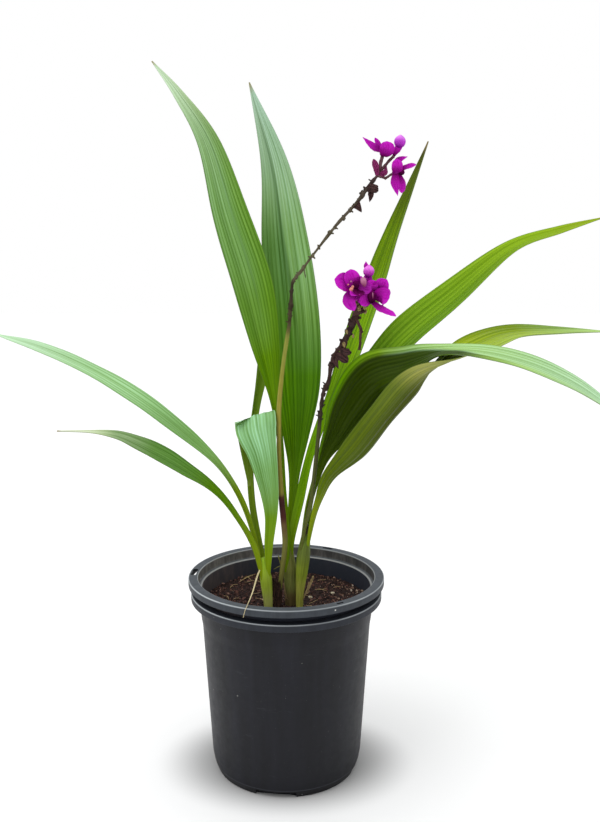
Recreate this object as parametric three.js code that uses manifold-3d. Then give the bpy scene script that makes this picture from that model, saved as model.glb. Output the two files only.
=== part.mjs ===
// A pleated-leaf ground orchid in two nested nursery pots.
// Millimetres, +Z up. The origin is the middle of the pot's footprint, and the floor is z = 0.
// The front of the plant is -Y.

import * as THREE from 'three';
import { mergeVertices } from 'three/addons/utils/BufferGeometryUtils.js';
import Module from 'manifold-3d';

const wasm = await Module();
wasm.setup();

// ---------------------------------------------------------------- driving dimensions

const fitGap = 0.4;              // clearance between pieces that touch

const potWall = 1.5;             // moulded wall of both pots
const potSides = 32;             // facets round a pot
const rimRadius = 100;           // inner pot, outside of its rim ring
const rimTop = 205.7;
const rimSkirt = 7.4;            // height of the band that hangs from a rim
const outerRimRadius = 97.5;
const outerRimTop = 190.5;
const potFloor = 7;              // underside of a pot's bottom, above its foot
const wallStart = 9;             // height above the foot where a pot's wall begins
const nestLift = 15.5;           // how far the inner pot's foot stands above the floor
const footRadius = 70;           // middle of the ring that the pot stands on
const footInside = 7;            // how far that ring reaches in and out from there
const footOutside = 2.5;
const footNotchWidth = 41;
const footNotchHeight = 6.2;
const footNotchDepth = 6;        // the ring stays whole behind a notch
const footNotchTurn = -8;        // degrees from the front to the first of the four notches
const drainRadius = 4;
const drainCircle = 46;
const drainCount = 4;
const hangerSlots = [[176, 5.2, 19], [62, 3.4, 12], [-57, 2.4, 8]]; // turn from +X, across and along the rim
const hangerSlotRadius = 95.2;
const hangerSlotDepth = 8;

// Outside of the outer pot's wall: height, radius.
const wallLine = [[9, 75.9], [19, 77.7], [156, 86], [165, 87.4], [178, 88.6]];

const soilTop = 178.5;
const soilRelief = 1.6;          // height of the crumbs and dips in the mix
const crumbCount = 8;
const crumbSize = 2;             // smallest crumb, and how much larger the others may be
const crumbSpread = 2.4;
const crumbReach = 74;           // crumbs lie within this radius
const fringeCount = 6;           // torn tips round the top of the old stump
const stemHoleDepth = 28;        // how deep a stem stands in the mix

const bladeThickness = 0.9;
const stalkThickness = 2.7;      // thickness of a leaf stalk where it leaves its stem
const pleatDepth = 0.9;
const broad = 8;                 // columns across a broad blade, two to each pleat
const slender = 6;               // columns across a slender blade

const petalThickness = 0.8;

// ---------------------------------------------------------------- colours

const potBlack = { color: 0x2b2d30, roughness: 0.55 };
const potGrey = { color: 0x34383d, roughness: 0.5 };
const mixBrown = { color: 0x4a3329, roughness: 0.95 };
const leafGreen = { color: 0x5c8f2a, roughness: 0.45 };
const paleLeaf = { color: 0x8fb981, roughness: 0.45 };
const stemGreen = { color: 0x6f7f33, roughness: 0.5 };
const huskBrown = { color: 0x3a2a22, roughness: 0.9 };
const spikeGreen = { color: 0x5b5a2c, roughness: 0.6 };
const witherBlack = { color: 0x2a2124, roughness: 0.8 };
const petalMagenta = { color: 0xa80ba6, roughness: 0.5 };
const budLilac = { color: 0xc05ad0, roughness: 0.5 };
const strawTan = { color: 0xb9a27a, roughness: 0.8 };

// ---------------------------------------------------------------- small helpers

const group = new THREE.Group();

// Seeded random numbers, so that every build is the same.
function makeRandom(seed) {
  let state = seed;
  return () => {
    state = (state * 1664525 + 1013904223) % 4294967296;
    return state / 4294967296;
  };
}

// A smooth curve through rows of numbers, at t from 0 to 1.
function spline(rows, t) {
  if (rows.length === 1) {
    return rows[0].slice();
  }
  const last = rows.length - 1;
  const place = Math.min(Math.max(t, 0), 1) * last;
  const i = Math.min(Math.floor(place), last - 1);
  const w = place - i;
  return rows[0].map((_, k) => {
    const b = rows[i][k];
    const c = rows[i + 1][k];
    const a = i > 0 ? rows[i - 1][k] : 2 * b - c;
    const d = i + 2 <= last ? rows[i + 2][k] : 2 * c - b;
    const v0 = (c - a) / 2;
    const v1 = (d - b) / 2;
    return (2 * b - 2 * c + v0 + v1) * w ** 3 + (3 * c - 3 * b - 2 * v0 - v1) * w ** 2 + v0 * w + b;
  });
}

function smoothStep(low, high, value) {
  const x = Math.min(Math.max((value - low) / (high - low), 0), 1);
  return x * x * (3 - 2 * x);
}

// Straight-line reading of a [height, radius] list.
function radiusAt(line, z) {
  const i = Math.max(1, line.findIndex((row) => row[0] >= z));
  const high = z > line[line.length - 1][0] ? line.length - 1 : i;
  const [z0, r0] = line[high - 1];
  const [z1, r1] = line[high];
  return r0 + ((r1 - r0) * (z - z0)) / (z1 - z0);
}

// The way from one row of numbers to the next, by their first three numbers.
function direction(from, to) {
  return new THREE.Vector3(to[0] - from[0], to[1] - from[1], to[2] - from[2]).normalize();
}

function closedGeometry(positions, triangles) {
  const geometry = new THREE.BufferGeometry();
  geometry.setAttribute('position', new THREE.Float32BufferAttribute(positions.flat(), 3));
  geometry.setIndex(triangles.flat());
  return geometry;
}

function toSolid(geometry) {
  const bare = geometry.clone();
  bare.deleteAttribute('normal');
  bare.deleteAttribute('uv');
  const merged = mergeVertices(bare, 1e-4);
  return new wasm.Manifold(new wasm.Mesh({
    numProp: 3,
    vertProperties: new Float32Array(merged.attributes.position.array),
    triVerts: new Uint32Array(merged.index.array),
  }));
}

function fromSolid(solid) {
  const mesh = solid.getMesh();
  const geometry = new THREE.BufferGeometry();
  geometry.setAttribute('position', new THREE.BufferAttribute(new Float32Array(mesh.vertProperties), 3));
  geometry.setIndex(Array.from(mesh.triVerts));
  return geometry;
}

// Joins solids and keeps the largest body, so that no loose scrap is left.
function largestBody(solid) {
  const bodies = solid.decompose();
  return bodies.reduce((best, body) => (body.volume() > best.volume() ? body : best));
}

function joinAll(geometries) {
  const solids = geometries.map(toSolid);
  return solids.slice(1).reduce((whole, solid) => whole.add(solid), solids[0]);
}

function cutAll(solid, geometries) {
  return geometries.map(toSolid).reduce((rest, tool) => rest.subtract(tool), solid);
}

function addNode(name, shape, finish) {
  const geometry = shape.isBufferGeometry ? shape : fromSolid(shape);
  const mesh = new THREE.Mesh(geometry, new THREE.MeshStandardMaterial({ metalness: 0, ...finish }));
  mesh.name = name;
  group.add(mesh);
}

// ---------------------------------------------------------------- growing shapes

// A leaf or petal as one thin closed solid.
// rows: x, y, z and flat width along the midrib. face: the way the upper side looks.
// fold: degrees that each half is raised. stalk: share of the length that is leaf stalk.
function bladeGeometry(leaf, grow = 0, lastStation = leaf.steps) {
  const { columns } = leaf;
  const thin = leaf.thickness ?? bladeThickness;
  const upper = [];
  const lower = [];
  for (let i = 0; i <= lastStation; i += 1) {
    const t = i / leaf.steps;
    const [x, y, z, flatWidth] = spline(leaf.rows, t);
    const ahead = spline(leaf.rows, Math.min(1, t + 0.01));
    const behind = spline(leaf.rows, Math.max(0, t - 0.01));
    const along = direction(behind, ahead);
    const side = along.clone().cross(new THREE.Vector3(...spline(leaf.face, t))).normalize();
    const up = side.clone().cross(along);
    const centre = new THREE.Vector3(x, y, z);
    if (grow > 0 && i === 0) {
      centre.addScaledVector(along, -grow);
    }
    const width = Math.max(flatWidth, 1) + 2 * grow;
    const fold = THREE.MathUtils.degToRad(spline(leaf.fold.map((angle) => [angle]), t)[0]);
    const stalkShare = 1 - smoothStep(leaf.stalk * 0.45, leaf.stalk, t);
    const pleat = (leaf.pleat ?? pleatDepth) * Math.min(1, width / 30) * (1 - stalkShare);
    for (let j = 0; j <= columns; j += 1) {
      const a = -1 + (2 * j) / columns;
      const half = (a * width) / 2;
      const furrow = (pleat * (Math.cos((Math.PI * columns * a) / 2) - 1)) / 2;
      const rise = Math.abs(half) * Math.sin(fold) + furrow;
      const round = Math.sqrt(Math.max(0, 1 - 0.9 * a * a));
      const thickness = thin + (stalkThickness - thin) * stalkShare * round + 2 * grow;
      const point = centre.clone().addScaledVector(side, half * Math.cos(fold)).addScaledVector(up, rise);
      upper.push(point.clone().addScaledVector(up, thickness / 2).toArray());
      lower.push(point.clone().addScaledVector(up, -thickness / 2).toArray());
    }
  }
  const count = upper.length;
  const span = columns + 1;
  const triangles = [];
  const quad = (a, b, c, d) => triangles.push([a, b, c], [a, c, d]);
  for (let i = 0; i < lastStation; i += 1) {
    for (let j = 0; j < columns; j += 1) {
      const p = i * span + j;
      quad(p, p + 1, p + span + 1, p + span);
      triangles.push([count + p, count + p + span + 1, count + p + 1]);
      triangles.push([count + p, count + p + span, count + p + span + 1]);
    }
    const left = i * span;
    const right = left + columns;
    quad(left, left + span, count + left + span, count + left);
    quad(right, count + right, count + right + span, right + span);
  }
  const end = lastStation * span;
  for (let j = 0; j < columns; j += 1) {
    quad(j, count + j, count + j + 1, j + 1);
    quad(end + j, end + j + 1, count + end + j + 1, count + end + j);
  }
  return closedGeometry([...upper, ...lower], triangles);
}

// A round stalk through rows of x, y, z and radius.
function stalkGeometry(rows, sides, steps, grow = 0) {
  const points = [];
  let ahead = new THREE.Vector3(0, -1, 0);
  for (let i = 0; i <= steps; i += 1) {
    const t = i / steps;
    const [x, y, z, radius] = spline(rows, t);
    const next = spline(rows, Math.min(1, t + 0.01));
    const before = spline(rows, Math.max(0, t - 0.01));
    const along = direction(before, next);
    const side = along.clone().cross(ahead).normalize();
    ahead = side.clone().cross(along);
    const shift = i === 0 ? -grow : (i === steps ? grow : 0);
    for (let k = 0; k < sides; k += 1) {
      const turn = (2 * Math.PI * k) / sides;
      const point = new THREE.Vector3(x, y, z).addScaledVector(along, shift);
      point.addScaledVector(side, (radius + grow) * Math.cos(turn));
      point.addScaledVector(ahead, (radius + grow) * Math.sin(turn));
      points.push(point.toArray());
    }
  }
  const triangles = [];
  for (let i = 0; i < steps; i += 1) {
    for (let k = 0; k < sides; k += 1) {
      const a = i * sides + k;
      const b = i * sides + ((k + 1) % sides);
      triangles.push([a, a + sides, b + sides], [a, b + sides, b]);
    }
  }
  const end = steps * sides;
  for (let k = 1; k < sides - 1; k += 1) {
    triangles.push([0, k, k + 1], [end, end + k + 1, end + k]);
  }
  return closedGeometry(points, triangles);
}

// A dry scale or stub: a blunt, tapering peg from one point to another.
function scaleGeometry(from, to, radius, grow = 0) {
  return stalkGeometry([[...from, radius], [...to, radius * 0.45]], 4, 1, grow);
}

// A rounded bud or lump, stretched along z.
function lumpGeometry(at, radius, stretch) {
  const geometry = new THREE.SphereGeometry(radius, 7, 4);
  geometry.rotateX(Math.PI / 2);
  geometry.scale(1, 1, stretch);
  geometry.translate(...at);
  return geometry;
}

// ---------------------------------------------------------------- pots

function lathe(profile) {
  const points = profile.map(([radius, z]) => new THREE.Vector2(radius, z));
  const geometry = new THREE.LatheGeometry(points, potSides);
  geometry.rotateX(Math.PI / 2);
  return geometry;
}

function boxAt(size, at, turnDegrees) {
  const geometry = new THREE.BoxGeometry(...size);
  geometry.translate(...at);
  geometry.rotateZ(THREE.MathUtils.degToRad(turnDegrees));
  return geometry;
}

function drainHoles(low, high) {
  const holes = [];
  for (let k = 0; k < drainCount; k += 1) {
    const hole = new THREE.CylinderGeometry(drainRadius, drainRadius, high - low, 6);
    hole.rotateX(Math.PI / 2);
    hole.translate(0, -drainCircle, (low + high) / 2);
    hole.rotateZ((2 * Math.PI * k) / drainCount);
    holes.push(hole);
  }
  return holes;
}

// One pot: the underside from the axis out, up the outside, over the rim and down the inside.
function potProfile(shape) {
  const { lift, shrink, ringRadius, top, collar } = shape;
  const heights = wallLine.map((row) => row[0]).filter((z) => z > lift + wallStart);
  heights.unshift(lift + wallStart);
  const outside = heights.map((z) => [radiusAt(wallLine, z) - shrink, z]);
  const inside = heights.map((z) => [radiusAt(wallLine, z) - shrink - potWall, z]).reverse();
  const skirtInside = ringRadius - potWall;
  return [
    [0, lift + potFloor],
    [footRadius - footInside - shrink, lift + potFloor],
    [footRadius - footInside - shrink, lift],
    [footRadius + footOutside - shrink, lift],
    ...outside,
    ...collar.outside,
    [skirtInside, top - potWall],
    [skirtInside, top - rimSkirt],
    [ringRadius, top - rimSkirt],
    [ringRadius, top],
    ...collar.inside,
    ...inside.slice(0, -1),
    [radiusAt(wallLine, lift + wallStart) - shrink - potWall - 1, lift + potFloor + potWall],
    [0, lift + potFloor + potWall],
  ];
}

const nestShrink = potWall + fitGap;

const outerProfile = potProfile({
  lift: 0,
  shrink: 0,
  ringRadius: outerRimRadius,
  top: outerRimTop,
  collar: {
    outside: [[89.4, outerRimTop - potWall]],
    inside: [[87.9, outerRimTop]],
  },
});
const innerProfile = potProfile({
  lift: nestLift,
  shrink: nestShrink,
  ringRadius: rimRadius,
  top: rimTop,
  collar: {
    outside: [[87.3, 193.5], [91.4, 195.2], [91.8, rimTop - potWall]],
    inside: [[90.2, rimTop], [89.7, 196.7], [86, 195.4]],
  },
});

function footNotches() {
  return [0, 1, 2, 3].map((k) => boxAt(
    [footNotchWidth, 2 * footNotchDepth, footNotchHeight * 2],
    [0, -footRadius - footOutside, 0],
    footNotchTurn + 90 * k,
  ));
}

function rimSlots() {
  return hangerSlots.map(([turn, across, along]) => boxAt(
    [across, along, hangerSlotDepth],
    [hangerSlotRadius, 0, rimTop],
    turn,
  ));
}

const outerPot = cutAll(toSolid(lathe(outerProfile)), [...footNotches(), ...drainHoles(2, 14)]);
const innerDrains = drainHoles(nestLift + 2, nestLift + 14);
const innerPot = cutAll(toSolid(lathe(innerProfile)), [...rimSlots(), ...innerDrains]);
addNode('pot_outer', outerPot, potBlack);
addNode('pot_inner', innerPot, potGrey);

// ---------------------------------------------------------------- stems

// Each false stem is a column of rolled leaf bases: x, y, z and radius.
const stemBottom = soilTop - stemHoleDepth;
const stemSides = 8;
const stemSteps = 4;
const stems = {
  stem_left: [[-17.6, -24, stemBottom, 3.8], [-17.6, -24, 178, 4.1], [-19.6, -24, 204, 5.8],
    [-22.6, -24, 229, 6.5]],
  stem_centre: [[4.6, -12, stemBottom, 5.2], [4.6, -12, 180, 5.6], [4, -12, 208, 6.3],
    [3.4, -12, 236, 7.2]],
  stem_right: [[13.4, -20, stemBottom, 3.3], [13.8, -20, 190, 3.8], [16.4, -20, 222, 6.3],
    [20.8, -20.4, 262, 7]],
};

// Dry sheath strips that stay on a stem's foot, as blades.
const sheaths = {
  stem_centre: [
    { rows: [[1.4, -15, 183, 3], [-0.6, -18, 191, 2.6], [-2.4, -18.6, 203, 1.2]], face: [[-0.6, -0.8, 0]] },
  ],
  stem_right: [
    { rows: [[15, -19.6, 183, 3.4], [20, -18, 191, 4.6], [24.4, -16, 200, 4.4], [27.6, -14.6, 209, 1.6]],
      face: [[-0.9, 0.1, 0.3], [-0.5, -0.8, 0.2]] },
    { rows: [[15, -20.6, 183, 3], [19, -20.4, 190, 3.2],
      [23, -19.4, 204, 1.2]], face: [[-0.9, -0.1, 0.3]] },
  ],
};
const stump = [[-8.6, -22, stemBottom, 3.7], [-8.6, -22, 178, 3.8], [-8.6, -22, 192, 4.6],
  [-8.4, -22.5, 206, 4.2]];

// ---------------------------------------------------------------- leaves

const forward = [0, -1, 0.1];

const leaves = {
  leaf_tall_left: {
    stem: 'stem_centre', finish: leafGreen, steps: 14, stalk: 0.36, columns: broad,
    rows: [[0.2, -16.4, 214, 3.8], [1.4, -17, 252, 6], [-2.4, -19, 300, 6.5], [-5.4, -23, 348, 7.5],
      [-11, -27, 393, 11], [-20, -27, 446, 30], [-33, -18, 504, 41], [-54, 0, 567, 37], [-76, 26, 636, 24],
      [-106, 48, 684, 12], [-134, 66, 719, 1.4]],
    face: [forward, [0.15, -1, 0.1], [0.3, -1, 0.15], [0.4, -1, 0.3]],
    fold: [0, 34, 20, 18, 18],
  },
  leaf_tall_centre: {
    stem: 'stem_centre', finish: leafGreen, steps: 14, stalk: 0.34, columns: broad,
    rows: [[5, -8, 214, 3.8], [4, -5, 254, 6.5], [8, 2, 307, 12], [10, 6, 350, 29], [10, 12, 400, 50],
      [7, 22, 464, 55], [-1, 40, 538, 49], [-12, 62, 618, 29], [-38, 88, 702, 1.4]],
    face: [forward, [0, -1, 0.1], [0, -1, 0.2], [0.1, -1, 0.3]],
    fold: [0, 30, 16, 16, 16],
  },
  leaf_tall_right: {
    stem: 'stem_centre', finish: leafGreen, steps: 14, stalk: 0.36, columns: broad,
    rows: [[3.6, -12.4, 214, 3.8], [5.6, -14, 247, 8], [16, -14.5, 292, 12.5], [27, -8, 337, 12],
      [46, 4, 382, 20], [68, 20, 426, 40], [89, 38, 480, 45], [112, 58, 550, 29], [146, 82, 643, 1.4]],
    face: [[-0.2, -1, 0.1], [-0.6, -1, 0.1], [-0.9, -0.7, 0.1], [-0.9, -0.5, 0.2], [-0.9, -0.6, 0.2]],
    fold: [0, 36, 22, 22, 22],
  },
  leaf_upper_right: {
    stem: 'stem_right', finish: leafGreen, steps: 14, stalk: 0.34, columns: slender,
    rows: [[20.4, -17, 240, 3.4], [24, -10, 280, 6.5], [35, -2, 326, 9], [52, 8, 368, 19],
      [82, 20, 408, 29],
      [121, 32, 448, 41], [171, 46, 488, 37], [230, 58, 535, 19], [282, 66, 553, 12], [328, 72, 566, 1.4]],
    face: [[-0.5, -0.8, 0.1], [-0.5, -0.8, 0.3], [-0.4, -0.7, 0.6], [-0.3, -0.7, 0.7], [0, -0.6, 0.8]],
    fold: [0, 34, 18, 16, 16],
  },
  leaf_arch_right: {
    stem: 'stem_right', finish: leafGreen, steps: 17, stalk: 0.26, columns: broad,
    rows: [[15.6, -17.6, 240, 3.4], [22.6, -18, 284, 6.5], [35, -19, 328, 11], [48, -22, 359, 31],
      [61, -28, 388, 49], [82, -34, 414, 49], [115, -44, 427, 43], [152, -62, 442.6, 46], [202, -86, 439, 32],
      [253, -106, 420, 28], [306, -126, 384, 1.4]],
    face: [[0, -1, 0.1], [0.1, -1, 0.05], [0.2, -1, 0], [0.25, -0.95, -0.1], [0.3, -0.9, -0.1],
      [0.25, -0.8, 0.25], [0.1, -0.66, 0.62], [0, -0.12, 1], [0.1, -0.35, 0.93], [0.2, -0.4, 0.93],
      [0.3, -0.4, 0.9]],
    fold: [0, 26, 10, 6, 8],
  },
  leaf_low_right: {
    stem: 'stem_right', finish: leafGreen, steps: 17, stalk: 0.16, columns: broad,
    rows: [[20.8, -22.8, 240, 3.4], [26.4, -26.5, 271, 7], [33.5, -32, 295, 11], [43.5, -40, 318, 21],
      [67, -52, 345, 37], [93, -64, 383, 38], [120.6, -70, 416.6, 42], [152, -61, 434.6, 33],
      [182, -33, 444.2, 41], [220, -4, 453, 38], [275, 22, 453, 26], [332, 42, 451, 1.4]],
    face: [[-0.6, 0.75, 0.1], [-0.6, 0.75, 0.1], [-0.6, 0.75, 0.1], [-0.6, 0.75, 0.2], [-0.5, 0.75, 0.3],
      [-0.4, 0.75, 0.5], [-0.3, 0.65, 0.7], [-0.2, 0.02, 1], [-0.1, -0.3, 0.95], [0, -0.25, 1],
      [0.1, -0.15, 1], [0.1, -0.15, 1]],
    fold: [0, 12, 10, 8, 8],
  },
  leaf_long_left: {
    stem: 'stem_left', finish: paleLeaf, steps: 13, stalk: 0.36, columns: slender,
    rows: [[-23.4, -21.2, 208, 3.2], [-30, -20, 243, 5], [-43, -18, 284, 8], [-65, -8, 319, 10],
      [-100, 12, 347, 19], [-151, 38, 379, 27], [-208, 66, 407, 25], [-268, 98, 427, 20],
      [-327, 129, 440, 1.4]],
    face: [[0.3, -0.8, 0.5], [0.4, -0.6, 0.7], [0.2, -0.4, 0.9], [0.1, -0.3, 0.95], [-0.1, -0.35, 0.95]],
    fold: [0, 34, 18, 16, 16],
  },
  leaf_short_left: {
    stem: 'stem_left', finish: paleLeaf, steps: 13, stalk: 0.34, columns: slender,
    rows: [[-22.8, -27, 208, 3.2], [-31, -30, 243, 7], [-47, -34, 274, 8], [-68, -38, 303, 12],
      [-98, -42, 326, 23], [-131, -46, 346, 30], [-158, -50, 360, 19], [-184, -54, 365.4, 6],
      [-214, -58, 367, 1.4]],
    face: [[0.3, -0.8, 0.5], [0.4, -0.6, 0.7], [0.2, -0.4, 0.9], [0.1, -0.25, 0.95], [-0.1, -0.35, 0.95]],
    fold: [0, 30, 18, 14, 20],
  },
  leaf_bent_front: {
    stem: 'stem_left', finish: paleLeaf, steps: 18, stalk: 0.2, columns: broad, pleat: 0.5,
    rows: [[-17.8, -26.4, 208, 3.2], [-17, -28, 244, 9], [-14.4, -32, 276, 12.5], [-15.4, -37, 300, 17.5],
      [-18.6, -42, 323, 23], [-22.4, -46, 344.6, 29], [-27.6, -46, 364.8, 38.5], [-29.8, -40, 378.8, 40],
      [-33, -29.6, 363.4, 30],
      [-35.4, -21.5, 340, 18], [-36, -19.5, 304, 2.4]],
    face: [forward, forward, forward, forward, forward, [0, -1, 0.2], [-0.1, -0.7, 0.7], [-0.3, 0, 1],
      [-0.2, 0.8, 0.6], [-0.1, 1, 0.2], [0, 1, 0]],
    fold: [0, 22, 10, 6, 2, -4, -7, -4, 0],
  },
  leaf_slender_back: {
    stem: 'stem_left', finish: leafGreen, steps: 10, stalk: 0.5, columns: slender,
    rows: [[-17.8, -21, 208, 3.2], [-27, -14, 245, 6.4], [-34.4, -6, 288, 7.4], [-35.6, -1, 336, 8],
      [-30, 6, 380, 9],
      [-25, 13, 413, 14], [-22, 18, 450, 18], [-24, 22, 484, 14], [-31, 28, 516, 1.4]],
    face: [forward, forward, [0.6, -0.8, 0.1], [0.6, -0.8, 0.1]],
    fold: [0, 30, 24, 24],
  },
};

// A leaf stalk is let into its stem over this many of its stations, a spike over this many rows.
const pocketStations = 2;
const pocketRows = 6;

for (const [name, leaf] of Object.entries(leaves)) {
  addNode(name, bladeGeometry(leaf), leaf.finish);
}

// ---------------------------------------------------------------- petals

const widthAlong = {
  round: [0.34, 0.86, 1, 0.86, 0.36],
  pointed: [0.4, 0.86, 1, 0.6, 0.08],
  strap: [0.5, 0.84, 1, 0.9, 0.4],
};

const petalColumns = { round: 3, pointed: 2, strap: 2 };

// A petal: its foot, its middle, its tip, its greatest width, the way its upper side looks.
function petalGeometry([from, middle, to, width, face, shape], grow = 0) {
  const profile = widthAlong[shape];
  const rows = profile.map((share, i) => {
    const point = spline([from, middle, to], i / (profile.length - 1));
    return [...point, Math.max(share * width, 1)];
  });
  return bladeGeometry({
    rows, face: [face], fold: [14], stalk: 0.1, steps: profile.length - 1, columns: petalColumns[shape],
    pleat: 0, thickness: petalThickness,
  }, grow);
}

// ---------------------------------------------------------------- flower spikes

const spikeSides = 5;

// A spike is a stalk with side shoots (from, to, radii of both ends) and dry scales
// (where each springs from, the way it leans, its radius) and withered petals, all in one piece.
const spikes = {
  spike_left: {
    finish: spikeGreen,
    rows: [[-6.4, -23.4, 196, 2], [-5, -24, 210, 2.4], [-1.1, -26, 245, 2.6], [-2.4, -28, 272, 2.9],
      [-4.4, -31, 297, 2.8], [-6.2, -35, 334, 2.3], [-6.1, -39, 364, 2.2], [-5.8, -42, 389, 2.3],
      [-2.4, -44, 423, 2],
      [1, -45, 447, 2], [4.2, -44, 468, 1.8], [5.6, -42, 488, 1.7], [7.5, -40, 505, 1.6],
      [15, -38, 515, 1.5],
      [25.6, -35, 529, 1.5], [42, -31, 550, 1.6], [55, -27, 565, 1.7], [68, -22, 579, 1.8],
      [79, -17, 594, 1.9],
      [86.6, -13, 603, 2], [89.6, -12, 609, 1.7]],
    shoots: [
      [[88, -12.5, 605], [91, -12, 620], 2, 1.6],
      [[89, -12, 607], [102, -9, 621], 1.6, 1.4],
      [[87, -13, 603], [95, -12, 600.5], 1.4, 1.3],
      [[94.4, -12, 600.7], [101.6, -10.8, 605], 1.3, 1.2],
    ],
    scales: [
      [[-3.6, -25, 220], [-4, -1.4, 15], 1.6], [[-4.6, -25, 224], [-8, 0, -5], 0.8],
      [[-4.5, -42, 388], [-1.8, -0.8, 3.2], 1.5], [[0.9, -45, 446], [-1.9, -0.8, 3.2], 1.4],
      [[4.8, -43.6, 472], [2.2, -0.8, 2.4], 1.4],
      [[5.2, -42.5, 483], [-2.7, -0.8, 2.1], 1.4], [[6.2, -41, 496], [-2.6, -0.8, 1.6], 1.4],
      [[11, -39, 509], [-1.1, -0.8, 3.5], 1.4], [[17.5, -37, 518], [2, -2, -14], 1],
      [[25.6, -35, 529], [2.7, -0.8, -2.1], 1.5], [[32, -33.5, 537], [-1.6, -0.8, 2.9], 1.4],
      [[42, -31, 550], [3.2, -0.8, -1.6], 1.5],
      [[47, -29.5, 555], [3.2, -0.8, -1.3], 1.4], [[55, -27, 564], [-2.1, -0.8, 3.2], 1.4],
      [[61, -24.5, 571], [3.2, -1.6, -2.4], 1.5],
      [[72, -20.4, 585], [-2.9, -0.8, 2.4], 1.7], [[76, -18, 590], [-2.4, -0.8, 2.4], 1.8],
    ],
    husks: [
      [[65.6, -23, 578], [68, -25, 574.6], [71, -25, 570], 9, [-0.2, -1, 0.3], 'strap'],
      [[76, -18.4, 590], [82, -20, 591.6], [88, -18, 591], 8.6, [0, -1, 0.2], 'round'],
      [[79.6, -17.2, 592.4], [80.6, -19, 585], [79.4, -18, 578.6], 5.6, [-0.3, -1, 0], 'pointed'],
      [[86.4, -13.4, 603.6], [85.4, -16, 610.6], [82.6, -16, 618], 6.6, [-0.5, -0.8, 0.1], 'strap'],
      [[89, -13, 604], [93.4, -14.6, 606], [95.2, -14, 611.4], 6, [0.4, -0.9, 0], 'pointed'],
    ],
  },
  spike_right: {
    finish: witherBlack,
    rows: [[15.4, -23.6, 240, 1.7], [18.4, -26.4, 262, 1.9], [22.4, -30, 280, 2], [25.4, -32.4, 296, 2],
      [27.2, -35, 313, 2], [29.2, -38.5, 333, 2], [32.2, -43, 366, 1.9], [33.4, -44.5, 383, 2.1],
      [36, -45, 401, 1.9],
      [41, -46, 413, 2.2], [44, -47, 431, 2.2], [48.5, -47, 441, 2.4], [54, -47, 448, 2.8],
      [59, -47, 457, 3],
      [62.6, -47, 466, 2.8], [65.4, -47, 476, 2.5], [69, -47, 484, 1.8]],
    shoots: [
      [[65, -47, 473], [66, -51, 487], 2, 1.6],
      [[66, -47, 475], [79.4, -49.6, 487.6], 2, 1.6],
      [[68, -47, 480], [75, -46, 502], 1.6, 1.4],
      [[66, -48, 473], [71.4, -51, 459], 1.6, 1.5],
      [[70.6, -50.6, 461], [69.4, -51, 443], 1.5, 1.2],
    ],
    scales: [
      [[33, -44, 381], [-2.2, -2, 3.4], 1.9], [[36, -45, 399], [2.6, -1, 1.4], 1.6],
      [[38.4, -45.4, 407], [-3, -1, 2.6], 2.2], [[43.6, -47, 428], [-2.2, -1, 4.6], 2.1],
      [[46.4, -47, 437], [-3.4, -2, 0.6], 1.8], [[54, -47, 449], [-4, -2, 4.4], 2.4],
      [[59.6, -47, 459], [-4.2, -2, 1.4], 1.9], [[62.4, -47, 466], [-2.6, -2, 5.4], 2.2],
      [[66, -48, 473], [5.4, -2, -0.6], 3], [[67, -48, 477], [7, -3, 2], 2.4],
      [[64, -47, 470], [-4, -2, -1], 1.6],
      [[60, -48, 459], [3.8, -1, -3.6], 2.2],
    ],
    husks: [
      [[47, -48, 439], [53, -51, 436], [59, -50, 431], 9, [0.2, -1, 0.2], 'round'],
      [[51, -48, 444], [56, -51, 441], [62, -50, 440], 8, [0.3, -0.8, 0.5], 'round'],
      [[48, -48, 438], [47, -51, 432], [50, -50, 425], 6, [-0.2, -1, 0], 'pointed'],
    ],
  },
};

function spikeParts(spike, grow) {
  const shoots = spike.shoots.map(([from, to, r0, r1]) => stalkGeometry(
    [[...from, r0], [...to, r1]],
    spikeSides,
    1,
    grow,
  ));
  const scales = spike.scales.map(([from, lean, radius]) => scaleGeometry(
    from,
    from.map((value, k) => value + lean[k]),
    radius,
    grow,
  ));
  const husks = spike.husks.map((husk) => petalGeometry(husk, grow));
  const rachis = stalkGeometry(spike.rows, spikeSides, spike.rows.length - 1, grow);
  return [rachis, ...shoots, ...scales, ...husks];
}

for (const [name, spike] of Object.entries(spikes)) {
  addNode(name, joinAll(spikeParts(spike, 0)), spike.finish);
}

// ---------------------------------------------------------------- blooms

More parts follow.
